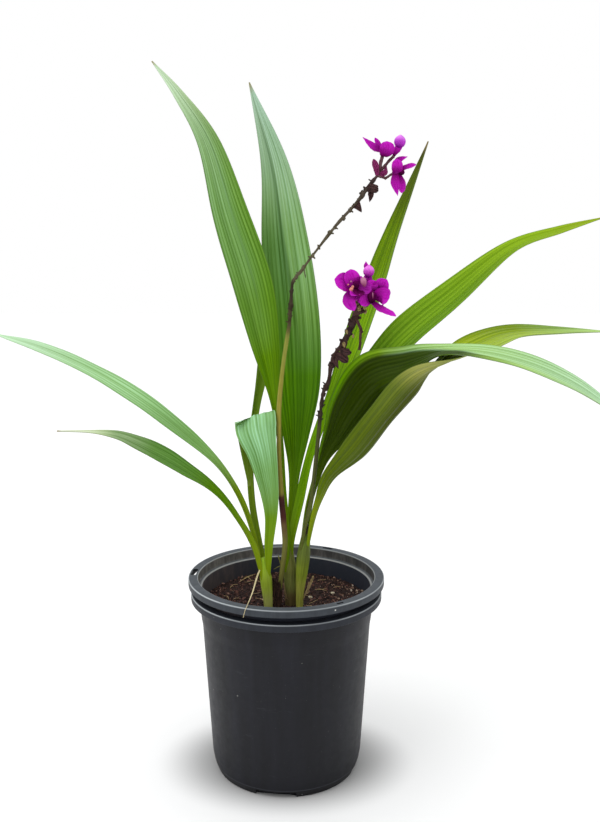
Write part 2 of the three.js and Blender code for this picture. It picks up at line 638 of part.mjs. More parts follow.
const blooms = {
  bloom_upper_left: {
    spike: 'spike_left', finish: petalMagenta, heart: [92, -12, 623.5], heartRadius: 3.4,
    petals: [
      [[92, -12, 625], [82, -14.5, 629.4], [72.5, -17, 637.5], 8, [0.2, -0.9, 0.4], 'pointed'],
      [[92, -9, 625], [88, -7, 631.5], [84.4, -7, 638], 5.4, [0.3, -0.9, 0.2], 'strap'],
      [[93.4, -14, 620.6], [94.8, -17.5, 627], [95, -16, 634], 14.6, [0.1, -1, 0.1], 'round'],
      [[94, -10, 624], [98, -4, 627.5], [100.6, 2, 630.5], 9, [-0.5, -0.4, 0.8], 'round'],
      [[92, -9, 624], [91.6, -2, 628], [90, 5, 632], 9, [0, -0.6, 0.8], 'round'],
    ],
  },
  bud_upper: {
    spike: 'spike_left', finish: budLilac, heart: [108.2, -5, 635], heartRadius: 5.6,
    petals: [
      [[102.4, -9, 621.6], [105, -6.6, 627.6], [107.8, -5, 633], 5.4, [0, -1, 0.1], 'strap'],
      [[102.4, -9, 621.6], [106.6, -6.6, 626.4], [110.4, -5, 632], 5.4, [-0.6, -0.8, 0.1], 'strap'],
    ],
  },
  bloom_upper_right: {
    spike: 'spike_left', finish: petalMagenta, heart: [104.4, -11, 606.4], heartRadius: 3.6,
    petals: [
      [[104.8, -13, 605], [104.8, -17, 611], [104.8, -15, 618], 11, [0, -1, 0.1], 'round'],
      [[106, -12, 608], [115, -14, 611], [122.6, -16, 613], 6, [0, -0.8, 0.6], 'strap'],
      [[103.8, -13, 606], [103.4, -16, 596], [106, -15, 584.6], 8.6, [-0.2, -1, 0], 'pointed'],
      [[106, -11, 605], [109.6, -12, 596], [110, -12, 587], 8, [0.3, -1, 0], 'strap'],
      [[104, -9.6, 608], [107, -7.6, 617], [115.2, -8, 620.8], 7, [-0.3, -0.9, 0.3], 'pointed'],
      [[106, -9, 606], [109, -2, 607], [111, 4, 606], 9, [0.2, -0.2, 0.9], 'round'],
    ],
  },
  bloom_lower_left: {
    spike: 'spike_right', finish: petalMagenta, heart: [66, -53, 500], heartRadius: 4.2,
    petals: [
      [[64, -54, 501], [55, -59, 505.6], [45.4, -61, 508.4], 17.4, [-0.2, -0.9, 0.3], 'round'],
      [[66, -56, 502], [61.4, -61, 509], [60, -60, 517.4], 15.2, [0, -1, 0.2], 'round'],
      [[64, -54, 497], [59.2, -58, 489.6], [64, -56, 479.6], 12.6, [-0.4, -0.9, -0.1], 'round'],
      [[68, -57, 498], [65, -64, 496.6], [60, -69, 494.6], 11, [0.2, -0.5, 0.85], 'round'],
      [[65, -57, 501], [72, -62, 501], [79, -60.4, 498.4], 13, [0, -1, 0.25], 'round'],
      [[66, -50, 501], [68, -43, 505], [67, -36, 509], 12, [-0.4, -0.4, 0.8], 'round'],
      [[67, -51, 498], [70, -43, 492], [69, -37, 485], 12, [-0.1, -0.8, -0.5], 'round'],
    ],
  },
  bud_lower: {
    spike: 'spike_right', finish: budLilac, heart: [77.4, -47, 515.4], heartRadius: 5.2,
    petals: [
      [[75.4, -46.2, 502.8], [76.4, -46.4, 507.6], [77.2, -47, 513], 8.6, [0, -1, 0.1], 'strap'],
      [[76.2, -47, 516], [75, -46, 520], [74.8, -45, 524], 4.8, [0, -1, 0.1], 'pointed'],
    ],
  },
  bloom_lower_right: {
    spike: 'spike_right', finish: petalMagenta, heart: [81, -51, 492], heartRadius: 4.4,
    petals: [
      [[83, -51, 495], [88, -56, 502], [93.4, -58, 508], 14.6, [0.2, -1, 0.2], 'round'],
      [[84, -52, 491], [90, -58, 493], [95.8, -57, 491], 17, [0.3, -0.9, 0], 'round'],
      [[80, -54, 487.6], [88, -60, 481], [101.4, -66, 475.4], 9.6, [0.2, -0.6, 0.8], 'strap'],
      [[79.6, -54, 490.6], [74, -57, 489], [70, -56, 484.6], 11, [-0.1, -1, 0], 'round'],
      [[80.4, -53, 495], [79.6, -56, 501.6], [78.6, -54, 507.6], 12, [0, -1, 0.1], 'round'],
      [[83, -48, 491], [89, -41, 493], [94, -35, 497], 12, [-0.5, -0.6, 0.6], 'round'],
    ],
  },
};

for (const [name, bloom] of Object.entries(blooms)) {
  const heart = lumpGeometry(bloom.heart, bloom.heartRadius, 1);
  const whole = joinAll([heart, ...bloom.petals.map((petal) => petalGeometry(petal))]);
  addNode(name, cutAll(whole, spikeParts(spikes[bloom.spike], fitGap)), bloom.finish);
}

// A withered strip of leaf that lies from a stem over the front rim.
const strawLine = [[-26, -31.4, 221, 0.8], [-28.5, -42, 217, 0.9], [-31, -60, 211.4, 0.8],
  [-33.4, -76, 208.4, 0.7],
  [-35.6, -91.5, 207.2, 0.6], [-37.2, -97, 204.4, 0.5], [-38.6, -98.2, 199, 0.4]];
addNode('dry_straw', stalkGeometry(strawLine, 5, 12), strawTan);

// ---------------------------------------------------------------- stems with their pockets, and the mix

function spikePocket(spike) {
  return stalkGeometry(spike.rows.slice(0, pocketRows), spikeSides, pocketRows - 1, 1.5 * fitGap);
}

for (const [name, rows] of Object.entries(stems)) {
  const pockets = Object.values(leaves)
    .filter((leaf) => leaf.stem === name)
    .map((leaf) => bladeGeometry(leaf, fitGap, pocketStations));
  if (name === 'stem_right') {
    pockets.push(spikePocket(spikes.spike_right));
  }
  const strips = (sheaths[name] ?? []).map((strip) => bladeGeometry({
    ...strip, fold: [20], stalk: 0.1, steps: 4, columns: 2, pleat: 0,
  }));
  const column = largestBody(cutAll(toSolid(stalkGeometry(rows, stemSides, stemSteps)), pockets));
  addNode(name, strips.map(toSolid).reduce((whole, strip) => whole.add(strip), column), stemGreen);
}

function huskFringe() {
  const random = makeRandom(3);
  const fringe = [];
  for (let k = 0; k < fringeCount; k += 1) {
    const turn = (k / fringeCount) * 2 * Math.PI + random();
    const foot = [-8.6 + 3.2 * Math.cos(turn), -22.4 + 3.2 * Math.sin(turn), 203];
    const tip = [foot[0] + Math.cos(turn), foot[1] + Math.sin(turn), 207 + 4 * random()];
    fringe.push(scaleGeometry(foot, tip, 1.7));
  }
  return fringe;
}

const stumpBody = joinAll([stalkGeometry(stump, stemSides, stemSteps), ...huskFringe()]);
addNode('old_stump', cutAll(stumpBody, [spikePocket(spikes.spike_left)]), huskBrown);

function soilGeometry() {
  const random = makeRandom(7);
  const wallGap = nestShrink + potWall + fitGap;
  const side = [156, 165, soilTop].map((z) => [radiusAt(wallLine, z) - wallGap, z]);
  const bottom = nestLift + potFloor + potWall + fitGap;
  side.unshift([radiusAt(wallLine, nestLift + wallStart) - wallGap - 1, bottom]);
  const rings = 3;
  const points = [[0, 0, side[0][1]]];
  const sectors = potSides;
  const ring = (radius, heightOf) => {
    for (let k = 0; k < sectors; k += 1) {
      const turn = (2 * Math.PI * k) / sectors + Math.PI / 2;
      points.push([radius * Math.cos(turn), radius * Math.sin(turn), heightOf()]);
    }
  };
  side.forEach(([radius, z]) => ring(radius, () => z));
  for (let r = rings - 1; r >= 1; r -= 1) {
    ring((side[side.length - 1][0] * r) / rings, () => soilTop + (random() - 0.5) * soilRelief);
  }
  points.push([0, 0, soilTop]);
  const triangles = [];
  const ringCount = side.length + rings - 1;
  for (let k = 0; k < sectors; k += 1) {
    const next = (k + 1) % sectors;
    triangles.push([0, 1 + next, 1 + k]);
    for (let r = 0; r < ringCount - 1; r += 1) {
      const a = 1 + r * sectors;
      const b = a + sectors;
      triangles.push([a + k, a + next, b + next], [a + k, b + next, b + k]);
    }
    const last = 1 + (ringCount - 1) * sectors;
    triangles.push([last + k, last + next, points.length - 1]);
  }
  return closedGeometry(points, triangles);
}

function crumbGeometries() {
  const random = makeRandom(21);
  const crumbs = [];
  for (let k = 0; k < crumbCount; k += 1) {
    const radius = crumbReach * Math.sqrt(random());
    const turn = 2 * Math.PI * random();
    const crumb = new THREE.OctahedronGeometry(crumbSize + crumbSpread * random());
    crumb.scale(1, 0.8, 0.6);
    crumb.rotateX(random() * 2);
    crumb.rotateZ(random() * 6);
    crumb.translate(radius * Math.cos(turn), radius * Math.sin(turn), soilTop - 0.4);
    crumbs.push(crumb);
  }
  return crumbs;
}

const stemHoles = Object.values(stems).map((rows) => stalkGeometry(rows, stemSides, stemSteps, fitGap));
stemHoles.push(stalkGeometry(stump, stemSides, stemSteps, fitGap));

// A pale granule here and there, and a fine root, lie half sunk in the mix.
const granules = [[24.4, 4.9], [48, 16.4], [-22.5, -2.2]];
const granuleGeometries = granules.map(([x, y]) => lumpGeometry([x, y, soilTop + 0.4], 2, 0.7));
const fineRoot = stalkGeometry([[-36, 74, soilTop, 0.6], [-44, 62, soilTop + 0.8, 0.6],
  [-51, 51, soilTop, 0.5]], 4, 5);

const mixParts = [soilGeometry(), ...crumbGeometries(), ...granuleGeometries, fineRoot];
const soil = cutAll(joinAll(mixParts), stemHoles);
addNode('potting_mix', largestBody(soil), mixBrown);

export default group;
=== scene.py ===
# %% [markdown]
# # A pleated-leaf ground orchid in two nested nursery pots
#
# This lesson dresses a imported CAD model. The CAD part is the fixed frame: it says where every leaf,
# stem, bloom and pot stands. The steps below make finer Blender pieces. Each piece stands for one CAD
# node and grows from the same rows of numbers. All tables are in millimetres, and the meshes are in
# metres, with Z up and the front of the plant towards -Y.

# %% Load the frame
import math

import bmesh
import bpy
import numpy as np
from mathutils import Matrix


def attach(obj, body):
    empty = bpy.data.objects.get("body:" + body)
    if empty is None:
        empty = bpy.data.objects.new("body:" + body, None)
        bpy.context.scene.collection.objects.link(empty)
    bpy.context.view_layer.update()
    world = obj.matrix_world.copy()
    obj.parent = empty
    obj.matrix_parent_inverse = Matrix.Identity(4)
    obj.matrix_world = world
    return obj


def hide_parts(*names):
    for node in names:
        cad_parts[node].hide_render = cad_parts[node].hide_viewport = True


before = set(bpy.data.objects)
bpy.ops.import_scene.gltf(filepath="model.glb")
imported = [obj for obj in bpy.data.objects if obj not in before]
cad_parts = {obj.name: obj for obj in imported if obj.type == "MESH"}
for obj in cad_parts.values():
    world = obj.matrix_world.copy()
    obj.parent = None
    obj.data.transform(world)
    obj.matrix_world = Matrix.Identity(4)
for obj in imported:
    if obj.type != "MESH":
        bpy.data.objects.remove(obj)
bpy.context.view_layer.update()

# %% [markdown]
# ## The camera
#
# A potted plant is best seen from a little above its rim, where the mix in the pot shows as a
# narrow oval. A lens of about 42 mm takes in the whole plant from a metre away, with little
# distortion. The camera looks along +Y and is tilted 10 degrees down.

# %% Camera
MM = 0.001
CAMERA_AT = (14, -950, 546.7)
CAMERA_TILT = 79.8          # degrees up from looking straight down
LONG_SIDE, FOCAL_PIXELS, SENSOR = 822, 970, 36

camera_data = bpy.data.cameras.new("camera")
camera_data.sensor_width = SENSOR
camera_data.lens = SENSOR * FOCAL_PIXELS / LONG_SIDE
camera_data.clip_end = 50
camera = bpy.data.objects.new("camera", camera_data)
camera.location = [v * MM for v in CAMERA_AT]
camera.rotation_euler = (math.radians(CAMERA_TILT), 0, 0)
scene = bpy.context.scene
scene.collection.objects.link(camera)
scene.camera = camera
print("camera lens", round(camera_data.lens, 2), "mm")

# %% [markdown]
# ## Wiring shaders
#
# Every surface is coloured by a tree of shader nodes. They could be placed and linked one by one,
# but then the sums would be hard to read. Here *wire* adds a node and feeds its inputs, and a
# *Value* stands for a number or colour that changes over the surface. Python's own signs work on a
# Value: each one adds the Math node of that name.

# %% Nodes and sums
def tint(code):
    """A colour such as "#6fa32a" as the linear numbers that a shader works with."""
    values = [int(code[i:i + 2], 16) / 255 for i in (1, 3, 5)]
    return tuple(v / 12.92 if v <= 0.04045 else ((v + 0.055) / 1.055) ** 2.4 for v in values) + (1.0,)


def feed(tree, node, inputs):
    """Gives a node's inputs, by name or number, plain values or links from other sockets."""
    for key, value in inputs.items():
        value = getattr(value, "socket", value)
        if isinstance(value, bpy.types.NodeSocket):
            tree.links.new(value, node.inputs[key])
        else:
            node.inputs[key].default_value = value
    return node


def wire(tree, kind, inputs=None, **settings):
    """Adds one shader node with its settings, and feeds its inputs."""
    node = tree.nodes.new(kind)
    for key, value in settings.items():
        setattr(node, key, value)
    return feed(tree, node, inputs or {})


class Value:
    """A number or colour that changes over a surface."""

    def __init__(self, tree, socket):
        self.tree, self.socket = tree, socket

    def clamped(self):
        """Holds the number between 0 and 1, in the node that makes it."""
        self.socket.node.use_clamp = True
        return self

    def __add__(self, other):
        return calculate("ADD", self, other)

    def __sub__(self, other):
        return calculate("SUBTRACT", self, other)

    def __rsub__(self, other):
        return calculate("SUBTRACT", other, self)

    def __mul__(self, other):
        return calculate("MULTIPLY", self, other)

    def __pow__(self, other):
        return calculate("POWER", self, other)

    def __gt__(self, other):
        return calculate("GREATER_THAN", self, other)

    def __lt__(self, other):
        return calculate("LESS_THAN", self, other)


def tree_of(*values):
    return next(value.tree for value in values if isinstance(value, Value))


def calculate(operation, *values):
    """One Math node on Values and plain numbers."""
    tree = tree_of(*values)
    node = wire(tree, "ShaderNodeMath", dict(enumerate(values)), operation=operation)
    return Value(tree, node.outputs[0])


def between(value, low, high, to_low=0.0, to_high=1.0):
    """A smooth ramp from to_low to to_high while value goes from low to high."""
    node = wire(value.tree, "ShaderNodeMapRange", {0: value, 1: low, 2: high, 3: to_low, 4: to_high},
                interpolation_type="SMOOTHSTEP")
    return Value(value.tree, node.outputs[0])


def blend(share, first, second, mode="MIX"):
    """Goes from the first colour to the second, or to their product, as far as share says."""
    tree = tree_of(share, first, second)
    node = wire(tree, "ShaderNodeMix", {0: share, 6: first, 7: second}, data_type="RGBA", blend_type=mode)
    return Value(tree, node.outputs[2])


def shade(share, colour, by):
    """Multiplies a colour by three numbers, as far as share says."""
    return blend(share, colour, (*by, 1), "MULTIPLY")


def colour_line(value, stops):
    """Colours along a value from 0 to 1: stops are (position, colour code)."""
    node = wire(value.tree, "ShaderNodeValToRGB", {0: value})
    ramp = node.color_ramp
    ramp.interpolation = "EASE"
    for i, (position, code) in enumerate(stops):
        stop = ramp.elements[i] if i < 2 else ramp.elements.new(position)
        stop.position = position
        stop.color = tint(code)
    return Value(value.tree, node.outputs[0])


print("leaf green as a shader sees it:", [round(v, 3) for v in tint("#6fa32a")])

# %% Vectors and noise
def object_spot(tree):
    """Where a point of the surface lies, in metres."""
    return Value(tree, wire(tree, "ShaderNodeTexCoord").outputs["Object"])


def vector_of(x, y, z=0.0):
    return Value(x.tree, wire(x.tree, "ShaderNodeCombineXYZ", {0: x, 1: y, 2: z}).outputs[0])


def parts_of(vector):
    """The three numbers of a vector."""
    made = wire(vector.tree, "ShaderNodeSeparateXYZ", {0: vector}).outputs
    return [Value(vector.tree, socket) for socket in made]


def place_of(tree):
    """The across, along and third numbers of the place that each point keeps."""
    return parts_of(Value(tree, wire(tree, "ShaderNodeAttribute", attribute_name="place").outputs["Vector"]))


def stretched(vector, by):
    node = wire(vector.tree, "ShaderNodeVectorMath", {0: vector, 1: by}, operation="MULTIPLY")
    return Value(vector.tree, node.outputs[0])


def length_of(vector):
    node = wire(vector.tree, "ShaderNodeVectorMath", {0: vector}, operation="LENGTH")
    return Value(vector.tree, node.outputs["Value"])


def noise(vector, scale, detail, roughness=0.5):
    inputs = {"Vector": vector, "Scale": scale, "Detail": detail, "Roughness": roughness}
    return Value(vector.tree, wire(vector.tree, "ShaderNodeTexNoise", inputs).outputs[0])


print("vector tools ready")

# %% Starting and ending a finish
def new_finish(name, **plain_values):
    """A material and its tree. Plain values are set on the shader's own sockets."""
    finish = bpy.data.materials.new(name)
    finish.use_nodes = True
    for key, value in plain_values.items():
        finish.node_tree.nodes["Principled BSDF"].inputs[key.replace("_", " ")].default_value = value
    return finish, finish.node_tree


def connect(finish, colour, roughness, height, depth):
    """Links a colour, a roughness and a bump of the given depth in millimetres."""
    tree = finish.node_tree
    bump = wire(tree, "ShaderNodeBump", {"Strength": 1.0, "Distance": depth * MM, "Height": height})
    feed(tree, tree.nodes["Principled BSDF"],
         {"Base Color": colour, "Roughness": roughness, "Normal": bump.outputs[0]})
    return finish


print("finish tools ready, bumps are given in units of", MM, "m")

# %% [markdown]
# ## A white studio
#
# The floor is a plain pale sheet, and the light is soft: a bright sky all round, a large lamp high on
# the left and a weaker one on the right. What the camera sees behind the plant is plain white, while
# the light that the surfaces gather is dimmer near the horizon, so dark plastic stays dark. The
# floor's colour is painted darker round the pot's foot, as a painted contact shadow.

# %% Floor, sky and lamps
scene.view_settings.view_transform = "Standard"
scene.view_settings.look = "None"
SKY_LOW, SKY_HIGH = 0.72, 1.3
FLOOR_HALF = 6.0
# A painted contact shadow round the pot's foot.
FLOOR_CONTACT_SHADOW = (0.07, 0.142, 0.44, 1.0)   # from this reach to this, in metres, and from this tone to this
LAMP_AIM = (0.0, 0.0, 0.35)

scene.world = bpy.data.worlds.new("studio_sky")
scene.world.use_nodes = True
sky = scene.world.node_tree
sky.nodes.clear()
up_share = wire(sky, "ShaderNodeSeparateXYZ", {0: wire(sky, "ShaderNodeTexCoord").outputs["Generated"]})
sky_light = wire(sky, "ShaderNodeMapRange",
                 {0: up_share.outputs[2], 1: -0.1, 2: 1.0, 3: SKY_LOW, 4: SKY_HIGH})
soft = wire(sky, "ShaderNodeBackground", {"Color": (0.99, 0.995, 1, 1), "Strength": sky_light.outputs[0]})
plain = wire(sky, "ShaderNodeBackground", {"Color": (1, 1, 1, 1), "Strength": 1.0})
seen = wire(sky, "ShaderNodeLightPath").outputs["Is Camera Ray"]
mixed = wire(sky, "ShaderNodeMixShader", {0: seen, 1: soft.outputs[0], 2: plain.outputs[0]})
wire(sky, "ShaderNodeOutputWorld", {0: mixed.outputs[0]})

floor_mesh = bpy.data.meshes.new("studio_floor")
corners = [(x * FLOOR_HALF, y * FLOOR_HALF, 0) for x, y in ((-1, -1), (1, -1), (1, 1), (-1, 1))]
floor_mesh.from_pydata(corners, [], [(0, 1, 2, 3)])
floor = bpy.data.objects.new("studio_floor", floor_mesh)
scene.collection.objects.link(floor)
floor_paint, paint = new_finish("floor_paint", Roughness=0.9, Specular_IOR_Level=0.1)
grain = Value(paint, wire(paint, "ShaderNodeTexNoise", {"Scale": 9.0, "Detail": 3.0}).outputs[0])
# The floor's colour is painted darker towards the foot, as a painted contact shadow.
painted_contact_shadow = between(length_of(stretched(object_spot(paint), (1, 1.25, 0))), *FLOOR_CONTACT_SHADOW)
feed(paint, paint.nodes["Principled BSDF"], {"Base Color": (grain * 0.02 + 0.93) * painted_contact_shadow})
floor_mesh.materials.append(floor_paint)


def lamp(name, at, size, power):
    """A square area lamp that faces the middle of the plant."""
    light = bpy.data.lights.new(name, "AREA")
    light.size, light.energy = size, power
    holder = bpy.data.objects.new(name, light)
    holder.location = at
    aim = np.array(LAMP_AIM) - np.array(at)
    yaw = math.atan2(aim[0], -aim[1])
    holder.rotation_euler = (math.atan2(math.hypot(aim[0], aim[1]), -aim[2]), 0, -yaw + math.pi)
    scene.collection.objects.link(holder)


lamp("key_lamp", (-1.3, -0.9, 2.2), 1.7, 24)
lamp("fill_lamp", (1.8, -0.6, 1.6), 1.4, 5)
print("studio ready, sky from", SKY_LOW, "at the horizon to", SKY_HIGH, "overhead")

# %% [markdown]
# ## Tools for growing things
#
# Leaves, petals and stalks all follow a smooth curve through a few rows of numbers. The curve here
# is a Catmull-Rom spline, because it passes through every row, so a table can be read as the places
# that the leaf touches. numpy works out all the points of a piece at once.

# %% Curves
def spline(rows, t):
    """A smooth curve through rows of numbers, at each t from 0 to 1."""
    rows = np.asarray(rows, float)
    t = np.atleast_1d(np.clip(t, 0, 1))
    if len(rows) == 1:
        return np.repeat(rows, len(t), axis=0)
    padded = np.vstack([2 * rows[0] - rows[1], rows, 2 * rows[-1] - rows[-2]])
    last = len(rows) - 1
    i = np.minimum((t * last).astype(int), last - 1)
    w = (t * last - i)[:, None]
    a, b, c, d = (padded[i + k] for k in range(4))
    v0, v1 = (c - a) / 2, (d - b) / 2
    return (2 * b - 2 * c + v0 + v1) * w**3 + (3 * c - 3 * b - 2 * v0 - v1) * w**2 + v0 * w + b


def unit(vectors):
    return vectors / np.maximum(np.linalg.norm(vectors, axis=-1, keepdims=True), 1e-12)


def heading(rows, t):
    """The direction of the curve at each t."""
    return unit((spline(rows, t + 0.01) - spline(rows, t - 0.01))[:, :3])


def circle(count):
    """Evenly spaced angles of one turn."""
    return np.arange(count) * 2 * math.pi / count


def smooth_step(low, high, value):
    x = np.clip((value - low) / (high - low), 0, 1)
    return x * x * (3 - 2 * x)


def wander(seed, t, waves):
    """A slow, repeatable wave along t, about -1 to 1."""
    random = np.random.default_rng(seed)
    total = np.zeros_like(t)
    for k in range(4):
        total += np.sin(2 * math.pi * (waves * (0.5 + 0.45 * k) * t + random.random())) / (1 + 0.6 * k)
    return total / 2


print("spline passes its rows:", spline([(0, 0), (1, 2), (2, 0)], np.array([0.5]))[0].tolist())

# %% [markdown]
# ## Collecting points
#
# A piece is often several forms that have grown together: a stalk with its scales, or a heart with
# its petals. They are collected in one list of points and faces. Each point also keeps its *place*:
# how far across the form it lies, how far along, and one more number. On a leaf that number is its
# width there as a share of 60 mm, and 1 more on the underside. The materials read that place, so
# their veins follow the leaf however it bends, and fade where it is narrow.

# %% Growth
class Growth:
    """Points in millimetres, faces, a place for each point and a finish number for each face."""

    def __init__(self):
        self.points, self.faces, self.places, self.kinds, self.count = [], [], [], [], 0

    def add(self, form, kind=0):
        points, faces, places = form
        self.points.append(points)
        self.places.append(places)
        self.faces.extend(tuple(corner + self.count for corner in face) for face in faces)
        self.kinds.extend([kind] * len(faces))
        self.count += len(points)
        return self


def soften(mesh, angle):
    """Smooth shading, with the edges that are sharper than the angle kept crisp."""
    work = bmesh.new()
    work.from_mesh(mesh)
    for face in work.faces:
        face.smooth = True
    for edge in work.edges:
        edge.smooth = len(edge.link_faces) == 2 and edge.calc_face_angle(0) < math.radians(angle)
    work.to_mesh(mesh)
    work.free()


def place_piece(name, growth, finishes, node, slot, angle=40):
    """Makes the mesh of a growth, and lets it ride on the body in the place of its CAD node."""
    mesh = bpy.data.meshes.new(name)
    mesh.from_pydata((np.vstack(growth.points) * MM).tolist(), [], growth.faces)
    places = mesh.attributes.new("place", "FLOAT_VECTOR", "POINT")
    places.data.foreach_set("vector", np.vstack(growth.places).astype(np.float32).ravel())
    for finish in finishes:
        mesh.materials.append(finish)
    mesh.polygons.foreach_set("material_index", growth.kinds)
    soften(mesh, angle)
    piece = bpy.data.objects.new(name, mesh)
    scene.collection.objects.link(piece)
    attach(piece, "root")
    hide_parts(node)
    mesh.calc_loop_triangles()
    print(f"{name}: {len(mesh.loop_triangles)} triangles")
    return piece


print("an empty growth has", Growth().count, "points")

# %% [markdown]
# ## A blade
#
# A leaf is a thin sheet folded a little along its midrib, and pleated like a fan, because its main
# veins stand up as ridges. It could be a flat plane bent by modifiers, but then its stalk, which is
# thick and gutter-shaped, would be a separate piece. Here one grid does both: near the foot it is
# narrow and thick, and further on it is wide, thin, ribbed and a little wavy at its margins. The
# upper and lower sheets are joined round the rim, so the leaf is a closed solid.

# %% Blade
LEAF_THIN, STALK_THICK, PLEAT = 0.9, 2.7, 0.9
NARROWEST, FULL_PLEATS, PLACE_WIDTH = 0.7, 30, 60       # widths
CREASE_SOFT = 0.2           # rounds the fold over the midrib
RIM_FROM, RIM_THINNER = 0.82, 0.6                       # the sheet thins from here to its rim
BROAD, SLENDER = 8, 6       # half pleats across


def grid_faces(rows, columns, first=0, flip=False):
    """Quads of a grid of points, row by row."""
    start = (np.arange(rows)[:, None] * (columns + 1) + np.arange(columns)[None, :]).ravel() + first
    quads = np.stack([start, start + 1, start + columns + 2, start + columns + 1], 1)
    return (quads[:, ::-1] if flip else quads).tolist()


def blade(rows, face, fold, stalk, columns, along=130, across=72, pleat=PLEAT, thin=LEAF_THIN,
          ribs=14, rib_height=0.16, wave=0.8, seed=1):
    """A leaf or petal as a closed sheet. Returns its points, faces and places."""
    t = np.linspace(0, 1, along + 1)
    centre = spline(rows, t)
    ahead = heading(rows, t)
    side = unit(np.cross(ahead, spline(face, t)))
    up = np.cross(side, ahead)
    width = np.maximum(centre[:, 3], NARROWEST)[:, None]
    lift = np.radians(spline([(angle,) for angle in fold], t))
    share = (1 - smooth_step(stalk * 0.45, stalk, t))[:, None]
    a = np.linspace(-1, 1, across + 1)[None, :]
    half = a * width / 2
    spread = (1 - share) * np.minimum(1, width / FULL_PLEATS)
    crease = np.sqrt(half**2 + CREASE_SOFT) - math.sqrt(CREASE_SOFT)
    rise = crease * np.sin(lift) + spread * pleat * (np.cos(math.pi * columns * a / 2) - 1) / 2
    rise = rise + spread**2 * rib_height * np.cos(2 * math.pi * ribs * (a + 1) / 2)
    edge = np.where(a < 0, wander(seed, t, 5)[:, None], wander(seed + 50, t, 5)[:, None])
    rise = rise + wave * spread * edge * np.abs(a) ** 3
    body = thin + (STALK_THICK - thin) * share * np.sqrt(np.maximum(0, 1 - 0.9 * a * a))
    body = body * (1 - RIM_THINNER * smooth_step(RIM_FROM, 1, np.abs(a)))
    flat = half * np.cos(lift)
    middle = centre[:, None, :3] + side[:, None] * flat[..., None] + up[:, None] * rise[..., None]
    upper = (middle + up[:, None] * (body / 2)[..., None]).reshape(-1, 3)
    lower = (middle - up[:, None] * (body / 2)[..., None]).reshape(-1, 3)
    wide = np.minimum(width / PLACE_WIDTH, 0.98)
    place = np.stack(np.broadcast_arrays((a + 1) / 2, t[:, None], wide), -1).reshape(-1, 3)
    total, span = len(upper), across + 1
    faces = grid_faces(along, across) + grid_faces(along, across, total, True)
    for i in range(along):
        left, right = i * span, i * span + across
        faces.append((left, left + span, total + left + span, total + left))
        faces.append((right, total + right, total + right + span, right + span))
    end = along * span
    for j in range(across):
        faces.append((j, total + j, total + j + 1, j + 1))
        faces.append((end + j, end + j + 1, total + end + j + 1, total + end + j))
    return np.vstack([upper, lower]), faces, np.vstack([place, place + (0, 0, 1)])


test_blade = blade([(0, 0, 0, 5), (0, 0, 50, 5)], [(0, -1, 0)], [5], 0.3, BROAD)
print("a test blade has", len(test_blade[0]), "points")

# %% [markdown]
# ## A stalk and a lump
#
# Stems, flower stalks and roots are round and tapering, with small ridges and swellings. A bevelled
# curve would give the taper only. A tube made ring by ring can have its radius changed at every
# point, which makes ribs, sheath edges and knots real. A lump is a ball with the same freedom.

# %% Stalk and lump
DOME = 0.5                  # how far a stalk's ends bulge, as a share of its radius


def ringed_faces(sides, rings):
    """Faces of a closed form: a first pole, rings of points, and a last pole."""
    faces = []
    for k in range(sides):
        n = (k + 1) % sides
        faces.append((0, 1 + n, 1 + k))
        for r in range(rings - 1):
            low, high = 1 + r * sides, 1 + (r + 1) * sides
            faces.append((low + k, low + n, high + n, high + k))
        top = 1 + (rings - 1) * sides
        faces.append((top + k, top + n, 1 + rings * sides))
    return faces


def stalk(rows, sides, steps, shape=None):
    """A closed round stalk through rows of x, y, z and radius. shape(turn, t) scales the radius."""
    t = np.linspace(0, 1, steps + 1)
    line = spline(rows, t)
    along = heading(rows, t)
    turn = circle(sides)
    front = np.array((0.0, -1.0, 0.0))
    rings = []
    for i in range(steps + 1):
        side = unit(np.cross(along[i], front))
        front = np.cross(side, along[i])
        radius = line[i, 3] * (shape(turn, t[i]) if shape else np.ones(sides))
        around = side * np.cos(turn)[:, None] + front * np.sin(turn)[:, None]
        rings.append(line[i, :3] + around * radius[:, None])
    ends = []
    for i, way in ((0, -1), (steps, 1)):
        cap = way * along[i] * line[i, 3] * DOME
        ends.append(line[i, :3] + (rings[i] - line[i, :3]) * 0.66 + cap * 0.7)
        ends.append((line[i, :3] + cap)[None])
    points = np.vstack([ends[1], ends[0], *rings, ends[2], ends[3]])
    levels = np.concatenate([[0.0], t, [1.0]])
    place = np.stack(np.broadcast_arrays(turn[None] / (2 * math.pi), levels[:, None], 0 * turn[None]), -1)
    place = np.vstack([[(0, 0, 0)], place.reshape(-1, 3), [(0, 1, 0)]])
    return points, ringed_faces(sides, steps + 3), place


def lump(at, radius, stretch=(1, 1, 1), seed=0, rough=0.0, sides=20, rings=14):
    """A closed ball, stretched and a little uneven."""
    v = np.linspace(0, math.pi, rings + 1)[1:-1]
    turn = circle(sides)
    x = np.sin(v)[:, None] * np.cos(turn)[None]
    y = np.sin(v)[:, None] * np.sin(turn)[None]
    z = -np.cos(v)[:, None] + 0 * turn[None]
    ball = np.vstack([[(0, 0, -1)], np.stack([x, y, z], -1).reshape(-1, 3), [(0, 0, 1)]])
    random = np.random.default_rng(seed)
    swell = np.ones(len(ball))
    for _ in range(5):
        swell += rough * 0.4 * np.sin(ball @ random.normal(0, 2.6, 3) + random.random() * 6)
    points = np.array(at) + ball * swell[:, None] * radius * np.array(stretch)
    around = np.arctan2(ball[:, 1], ball[:, 0]) / (2 * math.pi) + 0.5
    place = np.stack([around, (ball[:, 2] + 1) / 2, np.zeros(len(ball))], 1)
    return points, ringed_faces(sides, rings - 1), place


print("a test lump has", len(lump((0, 0, 0), 1)[0]), "points")

